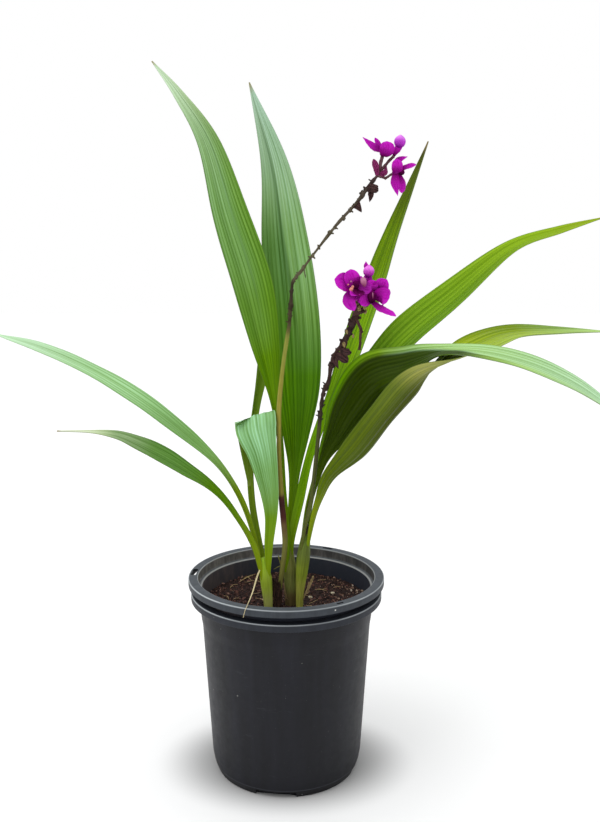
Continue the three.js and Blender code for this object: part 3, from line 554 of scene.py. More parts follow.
# %% [markdown]
# ## Shader groups
#
# Three effects come back in several finishes, so each is a node group of its own:
#
# - *parallel veins*: thin lines that run along a leaf or petal, with soft streaks between them
# - *mottle*: slow patches of lighter and darker colour, as living and weathered surfaces have
# - *specks*: small scattered spots of dust, or pits
#
# A group gives out only values that change over the surface. The shader itself stays in each
# material, where its plain numbers are set directly.

# %% Making and using a group
def group(name, inputs, outputs):
    """A new group: its tree, its inputs as Values, and the node that takes its results."""
    tree = bpy.data.node_groups.new(name, "ShaderNodeTree")
    for way, labels in (("INPUT", inputs), ("OUTPUT", outputs)):
        for label in labels:
            tree.interface.new_socket(name=label, in_out=way, socket_type="NodeSocketFloat")
    gone_in = tree.nodes.new("NodeGroupInput").outputs
    return tree, [Value(tree, gone_in[label]) for label in inputs], tree.nodes.new("NodeGroupOutput")


def use_group(tree, made, **inputs):
    """Places a group in a tree, and returns its results by name."""
    node = wire(tree, "ShaderNodeGroup", node_tree=made)
    feed(tree, node, inputs)
    return {socket.name: Value(tree, socket) for socket in node.outputs}


print("group makers ready")

# %% Parallel veins
veins, (across, along, count, seed), results = group(
    "parallel_veins", ["Across", "Along", "Count", "Seed"], ["Ridge", "Line", "Streak", "Some", "Height"])
run, slow = across * count, along * 1.3
drift = noise(vector_of(seed, slow), 3.0, 1.0)
phase = drift * 0.25 + run
ridge = calculate("PINGPONG", phase, 0.5) * -2.0 + 1.0
some = noise(vector_of(run, slow, seed), 1.3, 1.0)
thread = calculate("PINGPONG", phase * 3.0 + drift, 0.5)
line = between(thread, 0.26, 0.5) * between(some, 0.36, 0.62)
broad_streak = noise(vector_of(run * 0.5, slow, seed), 1.0, 2.0)
fine_streak = noise(vector_of(run * 2.8, along * 5.0, seed), 1.0, 2.0)
streak = fine_streak * 0.5 + broad_streak * 0.5
feed(veins, results, {"Ridge": ridge, "Line": line, "Streak": between(streak, 0.34, 0.66),
                      "Some": between(some, 0.35, 0.6), "Height": line * -0.5 + (ridge * 0.5 + streak * 0.6)})
print("parallel veins:", len(veins.nodes), "nodes")

# %% Mottle and specks
mottle, (scale, detail), results = group("mottle", ["Scale", "Detail"], ["Patch", "Fine"])
spot = object_spot(mottle)
feed(mottle, results, {"Patch": between(noise(spot, scale, 2.0), 0.3, 0.7),
                       "Fine": noise(spot, scale * detail, 4.0, 0.6)})

specks, (scale, share, size), results = group("specks", ["Scale", "Share", "Size"], ["Mask"])
cells = wire(specks, "ShaderNodeTexVoronoi",
             {"Vector": object_spot(specks), "Scale": scale, "Randomness": 1.0})
chance = Value(specks, wire(specks, "ShaderNodeSeparateColor", {0: cells.outputs["Color"]}).outputs[0])
disc = Value(specks, cells.outputs["Distance"]) < size * chance
feed(specks, results, {"Mask": (chance < share) * disc})
print("groups:", [tree.name for tree in bpy.data.node_groups])

# %% [markdown]
# ## Leaf finish
#
# A living leaf is satin, and never one green. Its colour runs from a yellowish foot over a bright
# middle to a paler tip, where the pale colour is a painted sheen of sky reflection. Where one half has
# colours of its own, they are painted light and shade. Darker and lighter streaks follow the veins,
# the furrows between the ribs are darkened as painted shade, the underside is duller, and the margin
# is a thin dark line. The greyish film on the upper side is a painted sheen of sky reflection. Some
# leaves have one pleat that is folded more sharply than the rest, with a painted shadow line along its
# bottom. One function makes the finish, and each leaf gives it its own colours.

# %% Leaf finish
# What a colour is multiplied by, in red, green and blue. Living green holds back blue light most.
LEAF_DEPTH, DARK_STREAK, LIGHT_STREAK = (0.86, 0.8, 0.2), (0.5, 0.6, 0.32), (1.3, 1.25, 1.05)
# On the next line the furrow and sharp-fold multipliers are painted shade in the creases; the thread one
# darkens the fine veins.
FURROW_SHADE, THREAD, SHARP_FOLD_SHADE = (0.42, 0.55, 0.28), (0.36, 0.48, 0.26), (0.42, 0.5, 0.38)
LEAF_PATCH = (0.7, 0.8, 0.6)
GREEN_UNDER = [(0, "#829c40"), (0.5, "#6f9c46"), (1, "#8fa87c")]


def leaf_finish(name, top, painted_sheen, painted_sheen_line, painted_sheen_side=(0.0, 1.0, 1.0, 1.0), under=GREEN_UNDER,
                top_painted_light=None, under_painted_light=None, painted_light_from=0.5, painted_light_to=0.7, painted_light_slide=None, count=12.0, seed=0.0,
                contrast=0.5, furrow_shading=0.5, threads=0.5, crease=None, tip=None, tip_from=0.7,
                margin="#4c5f2a", dry="#8c7a52"):
    """top and under are colours along the leaf; the sheen line says where a painted sheen of sky reflection
    lies, as (position, share). The other half's colours along the top and underside are painted light
    and shade, and the slide moves the border between the halves."""
    finish, tree = new_finish(name, Specular_IOR_Level=0.06)
    across, along, third = place_of(tree)
    # side marks the half whose own colours are painted light and shade.
    side = across - between(along, *painted_light_slide) if painted_light_slide else across
    clear = between(calculate("FRACT", third), 0.07, 0.4)
    lines = use_group(tree, veins, Across=across, Along=along, Count=count, Seed=seed)
    patches = use_group(tree, mottle, Scale=14.0, Detail=9.0)

    def halves(left, right):
        """The colours along the leaf, with the other half's painted light and shade where it has its own."""
        colour = colour_line(along, left)
        if right:
            return blend(between(side, painted_light_from, painted_light_to), colour, colour_line(along, right))
        return colour

    # The film is a painted sheen of sky reflection on the upper side.
    film = colour_line(along, [(position, f"#{int(255 * share):02x}0000") for position, share in painted_sheen_line])
    film = Value(tree, wire(tree, "ShaderNodeSeparateColor", {0: film}).outputs[0]) ** (1 / 2.2)
    film = film * between(side, *painted_sheen_side)
    film = (film * (lines["Streak"] * 0.35 + (lines["Ridge"] * 0.3 + 0.5))).clamped()
    upper = blend(film, shade(1.0, halves(top, top_painted_light), LEAF_DEPTH), tint(painted_sheen))
    # The pale tip colour is painted sheen too.
    if tip:
        upper = blend(between(along, tip_from, 1.0, 0.0, 0.85), upper, tint(tip))
    lower = shade(between(along, 0.45, 0.9, 1.0, 0.4), halves(under, under_painted_light), LEAF_DEPTH)
    colour = blend(third > 0.995, upper, lower)
    colour = shade((1 - lines["Streak"]) * contrast, colour, DARK_STREAK)
    # The furrows between the ribs are darkened as painted shade.
    furrow_shadow_mask = ((1 - lines["Ridge"]) ** 1.6 * (lines["Some"] * 0.8 + 0.5)).clamped()
    colour = shade(furrow_shadow_mask * clear * furrow_shading, colour, FURROW_SHADE)
    colour = shade(lines["Line"] * clear * threads, colour, THREAD)
    # A painted shadow line along the bottom of the sharpest fold.
    if crease:
        place, drift, width, start = crease
        off = calculate("ABSOLUTE", across - (along * drift + place))
        fold = between(off, width, 0.2 * width) * between(along, start, start + 0.1, 0.0, 0.7)
        colour = shade(fold, colour, SHARP_FOLD_SHADE)
    colour = shade(lines["Streak"] * 0.3, colour, LIGHT_STREAK)
    colour = shade(patches["Patch"] * 0.22, colour, LEAF_PATCH)
    off_middle = calculate("ABSOLUTE", across * 2.0 - 1.0)
    colour = blend(between(off_middle, 0.965, 1.0) * 0.7, colour, tint(margin))
    colour = blend(between(along, 0.98, 1.0, 0.0, 0.8), colour, tint(dry))
    roughness = film * 0.12 + (patches["Fine"] * 0.2 + 0.26)
    return connect(finish, colour, roughness, (patches["Fine"] * 0.25 + lines["Height"]) * clear ** 2.0, 0.2)


print("leaf finish ready")

# %% [markdown]
# ## Stem, stalk and petal finishes
#
# Stems and flower stalks are smooth and green with fine lengthwise lines, and turn brown where they
# have dried. Petals are thin and velvety: a deep magenta with darker veins, and paler streaks towards
# their tips that are a painted highlight. The withered remains are nearly black, with a rough, crumpled
# surface.

# %% Stem, stalk and petal finishes
STALK_SPOT, PETAL_PATCH = (0.5, 0.46, 0.36), (0.6, 0.4, 0.6)


def stalk_finish(name, colours, count=16.0, seed=3.0, rough=0.42, streaks=0.5, dark="#3b3f16", grain=45.0,
                 spotted=0.3, clean_to=-1.0):
    """A round stem: colours along it, with lengthwise lines, and darker spots beyond clean_to."""
    finish, tree = new_finish(name, Specular_IOR_Level=0.15)
    across, along, _ = place_of(tree)
    lines = use_group(tree, veins, Across=across, Along=along, Count=count, Seed=seed)
    patches = use_group(tree, mottle, Scale=grain, Detail=9.0)
    colour = blend((1 - lines["Streak"]) * streaks, colour_line(along, colours), tint(dark))
    spots = patches["Patch"] * between(along, clean_to, clean_to + 0.05, 0.15, spotted)
    colour = shade(spots, colour, STALK_SPOT)
    return connect(finish, colour, patches["Fine"] * 0.3 + (rough - 0.12),
                   patches["Fine"] * 0.5 + lines["Height"], 0.25)


def petal_finish(name, colours, vein="#6a0068", pale="#e45cf0"):
    """A petal from foot to tip, with fine darker veins, and pale streaks towards the tip that are a painted
    highlight.
    """
    finish, tree = new_finish(name, Specular_IOR_Level=0.02)
    across, along, _ = place_of(tree)
    lines = use_group(tree, veins, Across=across, Along=along, Count=9.0, Seed=5.0)
    patches = use_group(tree, mottle, Scale=120.0, Detail=8.0)
    colour = blend(lines["Line"] * 0.4, colour_line(along, colours), tint(vein))
    # Paler streaks towards the tip: a painted highlight.
    colour = blend(lines["Streak"] * (along * 0.3), colour, tint(pale))
    colour = shade(patches["Patch"] * 0.3, colour, PETAL_PATCH)
    return connect(finish, colour, patches["Fine"] * 0.3 + 0.33,
                   patches["Fine"] * 0.8 + lines["Height"], 0.15)


def crumpled_finish(name, dark, pale, scale, rough, depth):
    """A dry, crumpled or fibrous surface between two colours."""
    finish, tree = new_finish(name, Specular_IOR_Level=0.15)
    across, along, _ = place_of(tree)
    patches = use_group(tree, mottle, Scale=scale, Detail=4.0)
    grain = use_group(tree, veins, Across=across, Along=along, Count=12.0, Seed=8.0)
    colour = colour_line(patches["Fine"] * 0.7 + grain["Streak"] * 0.4, [(0.3, dark), (0.75, pale)])
    return connect(finish, colour, patches["Fine"] * 0.3 + (rough - 0.15),
                   patches["Fine"] + grain["Height"], depth)


print("finish makers ready")

# %% [markdown]
# ## The two pots
#
# Nursery pots are blown or moulded from thin black plastic. They have a hanging band round the rim,
# a small step inside, a raised foot ring with four notches, and drain holes in the bottom. Each pot
# is a profile turned round the axis, with its corners eased, because moulded corners are never
# sharp. The notches, drain holes and hanger slots are then cut out with boolean modifiers, as they
# are in the mould.

# %% Measures of the pots
# The rim's measures without OUTER are the inner pot's, and the two pots share all the others. WALL_LINE
# holds heights and radii of the outer pot's outside, and the inner pot is made a little narrower.
POT_WALL, FIT_GAP = 1.5, 0.4
RIM_RADIUS, RIM_TOP, RIM_INSIDE, RIM_SKIRT, LEDGE = 100, 205.7, 90.2, 7.4, 195.4
OUTER_RIM_RADIUS, OUTER_RIM_TOP, OUTER_RIM_INSIDE = 97.5, 190.5, 87.9
POT_FLOOR, WALL_START, NEST_LIFT = 7, 9, 15.5
FOOT_RADIUS, FOOT_INSIDE, FOOT_OUTSIDE, FOOT_LINE = 70, 7, 2.5, 8.0
WALL_LINE = ((9, 75.9), (19, 77.7), (156, 86), (165, 87.4), (178, 88.6))
POT_FACETS = 168
print("outer pot", 2 * OUTER_RIM_RADIUS, "mm across its rim, inner pot", 2 * RIM_RADIUS, "mm")

# %% Pot finish
# The first colour on the next line is a painted highlight for the rim's top edges, and the last is a painted
# highlight for the ledge.
EDGE_HIGHLIGHT, WALL_DUST, BAND_DUST, LEDGE_HIGHLIGHT = "#b4babd", "#62544e", "#7f7b76", "#a9aaa8"
# The second colour on the next line is painted shade for the pot's foot.
LINE_GREY, POT_FOOT_SHADE = "#3c3e46", "#08080b"
SCUFF, DUST, GRIT, CHIP = "#6d7378", "#a9a8a2", "#8d8d88", "#b9b9b4"
# How closely the spots of dust, grit and chips lie, what share of them shows, and their size.
SPOTS = ((190.0, 0.05, 3.4), (800.0, 0.1, 2.2), (170.0, 0.07, 2.6))


def plastic_finish(name, deep, worn, film, rim, inner_radius, face_radius, lit_wall_tone=None, ledge=None, foot=0.0):
    """Dull black plastic under a dusty film that lies on what faces up and on the rim's outer face.

    rim, inner_radius and face_radius say how high the rim's top is, and where its inside and face are."""
    finish, tree = new_finish(name, Specular_IOR_Level=0.24)
    spot = object_spot(tree)
    x, _, z = parts_of(spot)
    reach = length_of(stretched(spot, (1, 1, 0)))
    facing_up = parts_of(Value(tree, wire(tree, "ShaderNodeNewGeometry").outputs["Normal"]))[2]

    def step(value, low, high, to_low=0.0, to_high=1.0):
        """A smooth ramp between two places that are given in millimetres."""
        return between(value, low * MM, high * MM, to_low, to_high)

    patches = use_group(tree, mottle, Scale=9.0, Detail=14.0)
    drips = noise(stretched(spot, (55, 55, 5)), 1.0, 4.0, 0.6)
    dusty = between(noise(stretched(spot, (190, 190, 60)), 1.0, 5.0, 0.65), 0.36, 0.7)
    scuffs = between(noise(stretched(spot, (30, 30, 160)), 1.0, 6.0, 0.7), 0.62, 0.78)
    dust, grit, chips = (use_group(tree, specks, Scale=many, Share=share, Size=size)["Mask"]
                         for many, share, size in SPOTS)
    inside = reach < (inner_radius + 0.4) * MM
    colour = blend(between(drips, 0.3, 0.75), tint(deep), tint(worn))
    colour = blend(patches["Patch"] * 0.5, colour, tint(deep))
    face_low = rim - RIM_SKIRT
    face = (reach > (face_radius - 1.6) * MM) * step(z, face_low - 0.5, face_low + 0.5, 0.0, 0.2)
    cover = calculate("MAXIMUM", between(facing_up, 0.1, 0.9) * 0.34, face)
    cover = (cover * (dusty * 0.3 + 0.8)).clamped()
    colour = blend(cover, colour, tint(film))
    # A painted highlight runs along the rim's outer and inner top edges.
    near_top = step(z, rim - 1.5, rim - 0.3)
    outer_edge = step(reach, face_radius - 1.3, face_radius - 0.3) * near_top
    inner_edge = step(reach, inner_radius + 1.0, inner_radius + 0.2) * near_top
    edge_highlight_mask = (calculate("MAXIMUM", outer_edge, inner_edge) * (patches["Patch"] * 0.55 + 0.4)).clamped()
    colour = blend(edge_highlight_mask, colour, tint(EDGE_HIGHLIGHT))
    if lit_wall_tone:
        # The inner wall below the ledge is painted a lighter navy than the plastic, as painted light on it,
        # and it is a little brown with dust at one side. The band above it is streaky.
        brown = between(x, -0.02, -0.08, 0.1, 0.6) * (dusty * 0.5 + 0.5)
        below = inside * step(z, ledge + 0.6, ledge - 0.4)
        colour = blend(below, colour, blend(brown, tint(lit_wall_tone), tint(WALL_DUST)))
        band = step(z, ledge + 0.4, ledge + 2.2) * inside
        streaky = (dusty * 0.5 + 0.4) * between(x, 0.09, -0.09, 0.4, 0.9)
        colour = blend(band * streaky, colour, tint(BAND_DUST))
        # A painted highlight runs along the ledge's edge inside the rim.
        ledge_highlight_mask = step(z, ledge - 0.5, ledge - 0.1) * step(z, ledge + 0.9, ledge + 0.3)
        colour = blend(ledge_highlight_mask * inside * 0.75, colour, tint(LEDGE_HIGHLIGHT))
    if foot:
        # A moulded line runs round above the foot. Below it the foot is painted darker, as painted shade near
        # the floor.
        line = step(z, foot - 0.5, foot) * step(z, foot + 1, foot + 0.4)
        colour = blend(line * 0.6, colour, tint(LINE_GREY))
        colour = blend(step(z, foot, foot - 0.6, 0.0, 0.45), colour, tint(POT_FOOT_SHADE))
    for share, code in ((scuffs * 0.12, SCUFF), (dust * 0.3, DUST), (grit * 0.12, GRIT),
                        (chips * (face > 0.1), CHIP)):
        colour = blend(share, colour, tint(code))
    roughness = patches["Fine"] * 0.24 + (cover * 0.25 + 0.38)
    return connect(finish, colour, roughness, grit * 0.3 + (patches["Fine"] + drips), 0.12)


outer_plastic = plastic_finish("outer_pot_plastic", "#0b0c12", "#161720", "#474e58",
                               OUTER_RIM_TOP, OUTER_RIM_INSIDE, OUTER_RIM_RADIUS, foot=FOOT_LINE)
# For the inner pot, the fourth colour is the inner wall's painted light tone.
inner_plastic = plastic_finish("inner_pot_plastic", "#0c0f14", "#181c23", "#6f7780",
                               RIM_TOP, RIM_INSIDE, RIM_RADIUS, "#232a36", LEDGE)
print("pot finishes:", outer_plastic.name, "and", inner_plastic.name)

# %% Pot profiles
def wall_radius(z):
    return float(np.interp(z, *zip(*WALL_LINE)))


def pot_profile(lift, shrink, ring, top, collar_out, collar_in):
    """The pot's section: underside from the axis out, up the outside, over the rim, down the inside."""
    first = lift + WALL_START
    heights = [first] + [z for z, _ in WALL_LINE if z > first + 1]
    outside = [(wall_radius(z) - shrink, z) for z in heights]
    inside = [(wall_radius(z) - shrink - POT_WALL, z) for z in reversed(heights[1:])]
    skirt = ring - POT_WALL
    return [
        (0, lift + POT_FLOOR), (FOOT_RADIUS - FOOT_INSIDE - shrink, lift + POT_FLOOR),
        (FOOT_RADIUS - FOOT_INSIDE - shrink, lift), (FOOT_RADIUS + FOOT_OUTSIDE - shrink, lift),
        *outside, *collar_out, (skirt, top - POT_WALL), (skirt, top - RIM_SKIRT), (ring, top - RIM_SKIRT),
        (ring, top), *collar_in, *inside,
        (wall_radius(first) - shrink - POT_WALL - 1, lift + POT_FLOOR + POT_WALL),
        (0, lift + POT_FLOOR + POT_WALL),
    ]


def ease_corners(profile, radius=1.1, steps=4):
    """Rounds each corner of a profile with a small arc."""
    points = [np.array(p, float) for p in profile]
    eased = [points[0]]
    for before, corner, after in zip(points, points[1:], points[2:]):
        back, on = before - corner, after - corner
        reach = min(radius, 0.45 * np.linalg.norm(back), 0.45 * np.linalg.norm(on))
        start, end = corner + unit(back) * reach, corner + unit(on) * reach
        for k in range(steps + 1):
            w = k / steps
            eased.append((1 - w) ** 2 * start + 2 * w * (1 - w) * corner + w * w * end)
    return eased + [points[-1]]


def ring_at(radius, z, turn):
    return np.stack([radius * np.cos(turn), radius * np.sin(turn), np.full(len(turn), z)], 1)


def turned(profile):
    """Turns a profile that starts and ends on the axis into a closed form."""
    rings = [ring_at(r, z, circle(POT_FACETS)) for r, z in profile[1:-1]]
    points = np.vstack([[(0, 0, profile[0][1])], *rings, [(0, 0, profile[-1][1])]])
    return points, ringed_faces(POT_FACETS, len(rings)), np.zeros((len(points), 3))


outer_profile = pot_profile(0, 0, OUTER_RIM_RADIUS, OUTER_RIM_TOP, [(89.4, OUTER_RIM_TOP - POT_WALL)],
                            [(OUTER_RIM_INSIDE, OUTER_RIM_TOP)])
inner_profile = pot_profile(NEST_LIFT, POT_WALL + FIT_GAP, RIM_RADIUS, RIM_TOP,
                            [(87.3, 193.5), (91.4, 195.2), (91.8, RIM_TOP - POT_WALL)],
                            [(RIM_INSIDE, RIM_TOP), (89.7, 196.7), (86, LEDGE)])
print("outer section", len(outer_profile), "corners; inner section", len(inner_profile), "corners")

# %% Cutting the pots
FOOT_NOTCH, FOOT_NOTCH_TURN = (41, 12, 12.4), -8
DRAIN_RADIUS, DRAIN_CIRCLE, DRAIN_SIDES, DRAIN_FROM, DRAIN_TO = 4, 46, 24, 2, 14
HANGER_SLOTS = ((176, 5.2, 19), (62, 3.4, 12), (-57, 2.4, 8))   # turn from +X, across and along the rim
SLOT_CIRCLE, SLOT_TALL = 95.2, 8


def prism(plan, low, high, turn_degrees):
    """A closed upright cutter over a plan of points, turned round the axis."""
    turn, n = math.radians(turn_degrees), len(plan)
    across = np.array([[math.cos(turn), -math.sin(turn), 0], [math.sin(turn), math.cos(turn), 0], [0, 0, 1]])
    points = np.array([(x, y, z) for z in (low, high) for x, y in plan]) @ across.T * MM
    faces = [tuple(range(n - 1, -1, -1)), tuple(range(n, 2 * n))]
    faces += [(k, (k + 1) % n, (k + 1) % n + n, k + n) for k in range(n)]
    mesh = bpy.data.meshes.new("cutter")
    mesh.from_pydata(points.tolist(), [], faces)
    tool = bpy.data.objects.new("cutter", mesh)
    scene.collection.objects.link(tool)
    return tool


def bevelled_box(size, at, ease, turn_degrees):
    """A box with its upright edges cut off at 45 degrees."""
    sx, sy, sz = (v / 2 for v in size)
    plan = [(sx - ease, -sy), (sx, -sy + ease), (sx, sy - ease), (sx - ease, sy), (-sx + ease, sy),
            (-sx, sy - ease), (-sx, -sy + ease), (-sx + ease, -sy)]
    return prism([(at[0] + x, at[1] + y) for x, y in plan], at[2] - sz, at[2] + sz, turn_degrees)


def drains(lift):
    """Four round holes through a pot's floor."""
    turn = circle(DRAIN_SIDES)
    plan = np.stack([DRAIN_RADIUS * np.cos(turn), DRAIN_RADIUS * np.sin(turn) - DRAIN_CIRCLE], 1)
    return [prism(plan, lift + DRAIN_FROM, lift + DRAIN_TO, 90 * k) for k in range(4)]


def cut_from(piece, tools):
    """Cuts each tool out of the piece's mesh, and removes the tools."""
    for tool in tools:
        cut = piece.modifiers.new("cut", "BOOLEAN")
        cut.operation, cut.object, cut.solver = "DIFFERENCE", tool, "EXACT"
    bpy.context.view_layer.update()
    made = bpy.data.meshes.new_from_object(piece.evaluated_get(bpy.context.evaluated_depsgraph_get()))
    piece.modifiers.clear()
    old, piece.data = piece.data, made
    made.name = piece.name
    for item in [old] + [tool.data for tool in tools]:
        bpy.data.meshes.remove(item)
    soften(made, 32)
    print(piece.name, "cut:", len(made.polygons), "faces")


outer_pot = place_piece("outer_nursery_pot", Growth().add(turned(ease_corners(outer_profile))),
                        [outer_plastic], "pot_outer", "pot_black")
notch_at = (0, -FOOT_RADIUS - FOOT_OUTSIDE, 0)
notches = [bevelled_box(FOOT_NOTCH, notch_at, 1.5, FOOT_NOTCH_TURN + 90 * k) for k in range(4)]
cut_from(outer_pot, notches + drains(0))
inner_pot = place_piece("inner_nursery_pot", Growth().add(turned(ease_corners(inner_profile))),
                        [inner_plastic], "pot_inner", "pot_grey")
slots = [bevelled_box((across, along, SLOT_TALL), (SLOT_CIRCLE, 0, RIM_TOP), 0.35 * across, angle)
         for angle, across, along in HANGER_SLOTS]
cut_from(inner_pot, slots + drains(NEST_LIFT))

# %% [markdown]
# ## The potting mix
#
# The mix is coir and bark, crumbled to a few millimetres. A displaced disc alone would look like
# cloth, because crumbs overhang and throw small shadows. So a bumpy disc is made first, and a few
# thousand small angular crumbs, flakes and fibres are bedded in it as real mesh, all in one piece.
# Each crumb keeps its own number, which the finish turns into its own brown.

# %% Bed and crumbs
SOIL_TOP, SOIL_RADIUS, SOIL_FOOT = 178.5, 84.6, 24.4
BED_RINGS, BED_SECTORS = 56, 150
GOLDEN = (1 + 5**0.5) / 2
CRUMB = unit(np.array([(x, y, 0) for y in (GOLDEN, -GOLDEN) for x in (-1, 1)]
                      + [(0, x, y) for y in (GOLDEN, -GOLDEN) for x in (-1, 1)]
                      + [(y, 0, x) for y in (GOLDEN, -GOLDEN) for x in (-1, 1)], float))


def mix_height(x, y):
    """The uneven top of the mix."""
    bumps = 0.5 * np.sin(x * 0.21 + 1) * np.cos(y * 0.17) + 0.45 * np.sin(x * 0.47 + y * 0.39 + 2)
    bumps = bumps + 0.35 * np.cos(x * 0.83 - y * 0.71) + 0.25 * np.sin(x * 1.37 + 0.6) * np.sin(y * 1.51)
    return SOIL_TOP - 0.3 + 0.8 * bumps


def mix_bed():
    """The body of the mix: a closed plug with an uneven top."""
    turn = circle(BED_SECTORS)
    rings = [ring_at(r, z, turn) for r, z in ((75.6, SOIL_FOOT), (83.0, 150), (SOIL_RADIUS, SOIL_TOP - 1.4))]
    for r in range(BED_RINGS - 1, 0, -1):
        x, y = SOIL_RADIUS * r / BED_RINGS * np.cos(turn), SOIL_RADIUS * r / BED_RINGS * np.sin(turn)
        rings.append(np.stack([x, y, mix_height(x, y)], 1))
    points = np.vstack([[(0, 0, SOIL_FOOT)], *rings, [(0, 0, float(mix_height(0.0, 0.0)))]])
    return points, ringed_faces(BED_SECTORS, len(rings)), np.tile((0.2, 0.0, 0.0), (len(points), 1))


def crumb_faces():
    """The 20 triangles of the crumb, found as its triples of nearest points."""
    out = []
    for i, j, k in ((i, j, k) for i in range(12) for j in range(i + 1, 12) for k in range(j + 1, 12)):
        a, b, c = CRUMB[[i, j, k]]
        if max(np.linalg.norm(a - b), np.linalg.norm(b - c), np.linalg.norm(c - a)) < 1.2:
            out.append((i, j, k) if np.dot(np.cross(b - a, c - a), a) > 0 else (i, k, j))
    return out


CRUMB_FACES = crumb_faces()
PALEST = 0.98


def crumbs(count, smallest, largest, flat, seed, mark_low, mark_high):
    """Scattered crumbs, each turned, stretched and dented by its own draws."""
    random = np.random.default_rng(seed)
    for _ in range(count):
        radius, turn = (SOIL_RADIUS - 1.5) * math.sqrt(random.random()), 2 * math.pi * random.random()
        x, y = radius * math.cos(turn), radius * math.sin(turn)
        size = smallest + (largest - smallest) * random.random() ** 3
        axes = np.linalg.qr(random.normal(size=(3, 3)))[0]
        stretch = size * np.array((1, 0.55 + 0.4 * random.random(), flat + 0.3 * random.random()))
        body = CRUMB * (0.78 + 0.4 * random.random((12, 1))) * stretch @ axes.T
        if np.linalg.det(axes) < 0:
            body = body * (-1, -1, -1)
        sunk = float(mix_height(x, y)) + size * (0.45 * random.random() - 0.1)
        right = 1 + 0.25 * smooth_step(30, 75, x)       # the crumbs are a little paler on the right
        mark = min(mark_low + (mark_high - mark_low) * random.random() * right, PALEST)
        yield body + (x, y, sunk), CRUMB_FACES, np.tile((mark, random.random(), 0.0), (12, 1))


print("a crumb has", len(CRUMB_FACES), "faces")

# %% Potting mix
# How many, smallest and largest size, flatness, seed, and from which brown to which.
CRUMB_SORTS = ((6800, 0.45, 1.7, 0.5, 11, 0.0, 0.8), (180, 1.3, 2.8, 0.25, 12, 0.3, 0.95),
               (26, 0.5, 1.1, 0.7, 13, 1.0, 1.0))
GRANULES = ((24.4, 4.9), (48, 16.4), (-22.5, -2.2))
FIBRES, FIBRE_SEED, FIBRE_FIELD, FIBRE_RADIUS = 34, 400, 120, 0.28
THIN_ROOT = ((-36, 74, SOIL_TOP + 0.6, 0.5), (-44, 62, SOIL_TOP + 1.3, 0.6),
             (-51, 51, SOIL_TOP + 0.6, 0.4))

mix = Growth().add(mix_bed())
for sort in CRUMB_SORTS:
    for form in crumbs(*sort):
        mix.add(form)
for x, y in GRANULES:
    mix.add(lump((x, y, SOIL_TOP + 0.6), 1.9, (1.1, 0.8, 0.7), seed=5, rough=0.3, sides=10, rings=7), 1)
for seed in range(FIBRES):
    random = np.random.default_rng(FIBRE_SEED + seed)
    x, y = (random.random(2) - 0.5) * FIBRE_FIELD
    lean = random.random() * 6.3
    reach = 6 + 9 * random.random()
    fibre = [(x + reach * w * math.cos(lean + 0.5 * w), y + reach * w * math.sin(lean + 0.5 * w),
              SOIL_TOP + 0.7 + 1.5 * math.sin(3.1 * w) * random.random(), FIBRE_RADIUS)
             for w in (0, 0.35, 0.7, 1)]
    mix.add(stalk(fibre, 5, 7), 2)
mix.add(stalk(THIN_ROOT, 6, 14), 2)

coir, tree = new_finish("coir_and_bark", Specular_IOR_Level=0.2)
patches = use_group(tree, mottle, Scale=300.0, Detail=5.0)
colour = colour_line(patches["Fine"] * 0.25 + (place_of(tree)[0] - 0.12),
                     [(0, "#140c0b"), (0.25, "#281916"), (0.5, "#4a312b"), (0.72, "#6a4840"),
                      (0.9, "#977a69"), (1, "#cfc0ac")])
connect(coir, colour, patches["Fine"] * 0.2 + 0.75, patches["Fine"], 0.5)
granule_finish = crumpled_finish("pale_granule", "#c9b892", "#f3ead2", 400.0, 0.7, 0.2)
fibre_finish = crumpled_finish("dry_fibre", "#7a6040", "#c9b083", 300.0, 0.7, 0.2)
place_piece("crumbled_mix", mix, [coir, granule_finish, fibre_finish], "potting_mix", "potting_mix", 25)

# %% [markdown]
# ## Stems
#
# The green stems are not wood but rolled leaf feet, each wrapped round the next. That shows as long
# edges that wind slowly up the stem, with fine ribs between them. A tube with a stepped radius
# gives those edges in the mesh itself. A few dry, papery strips of older sheaths lean away from the
# foot. They are small blades of the same piece, with their own finish.

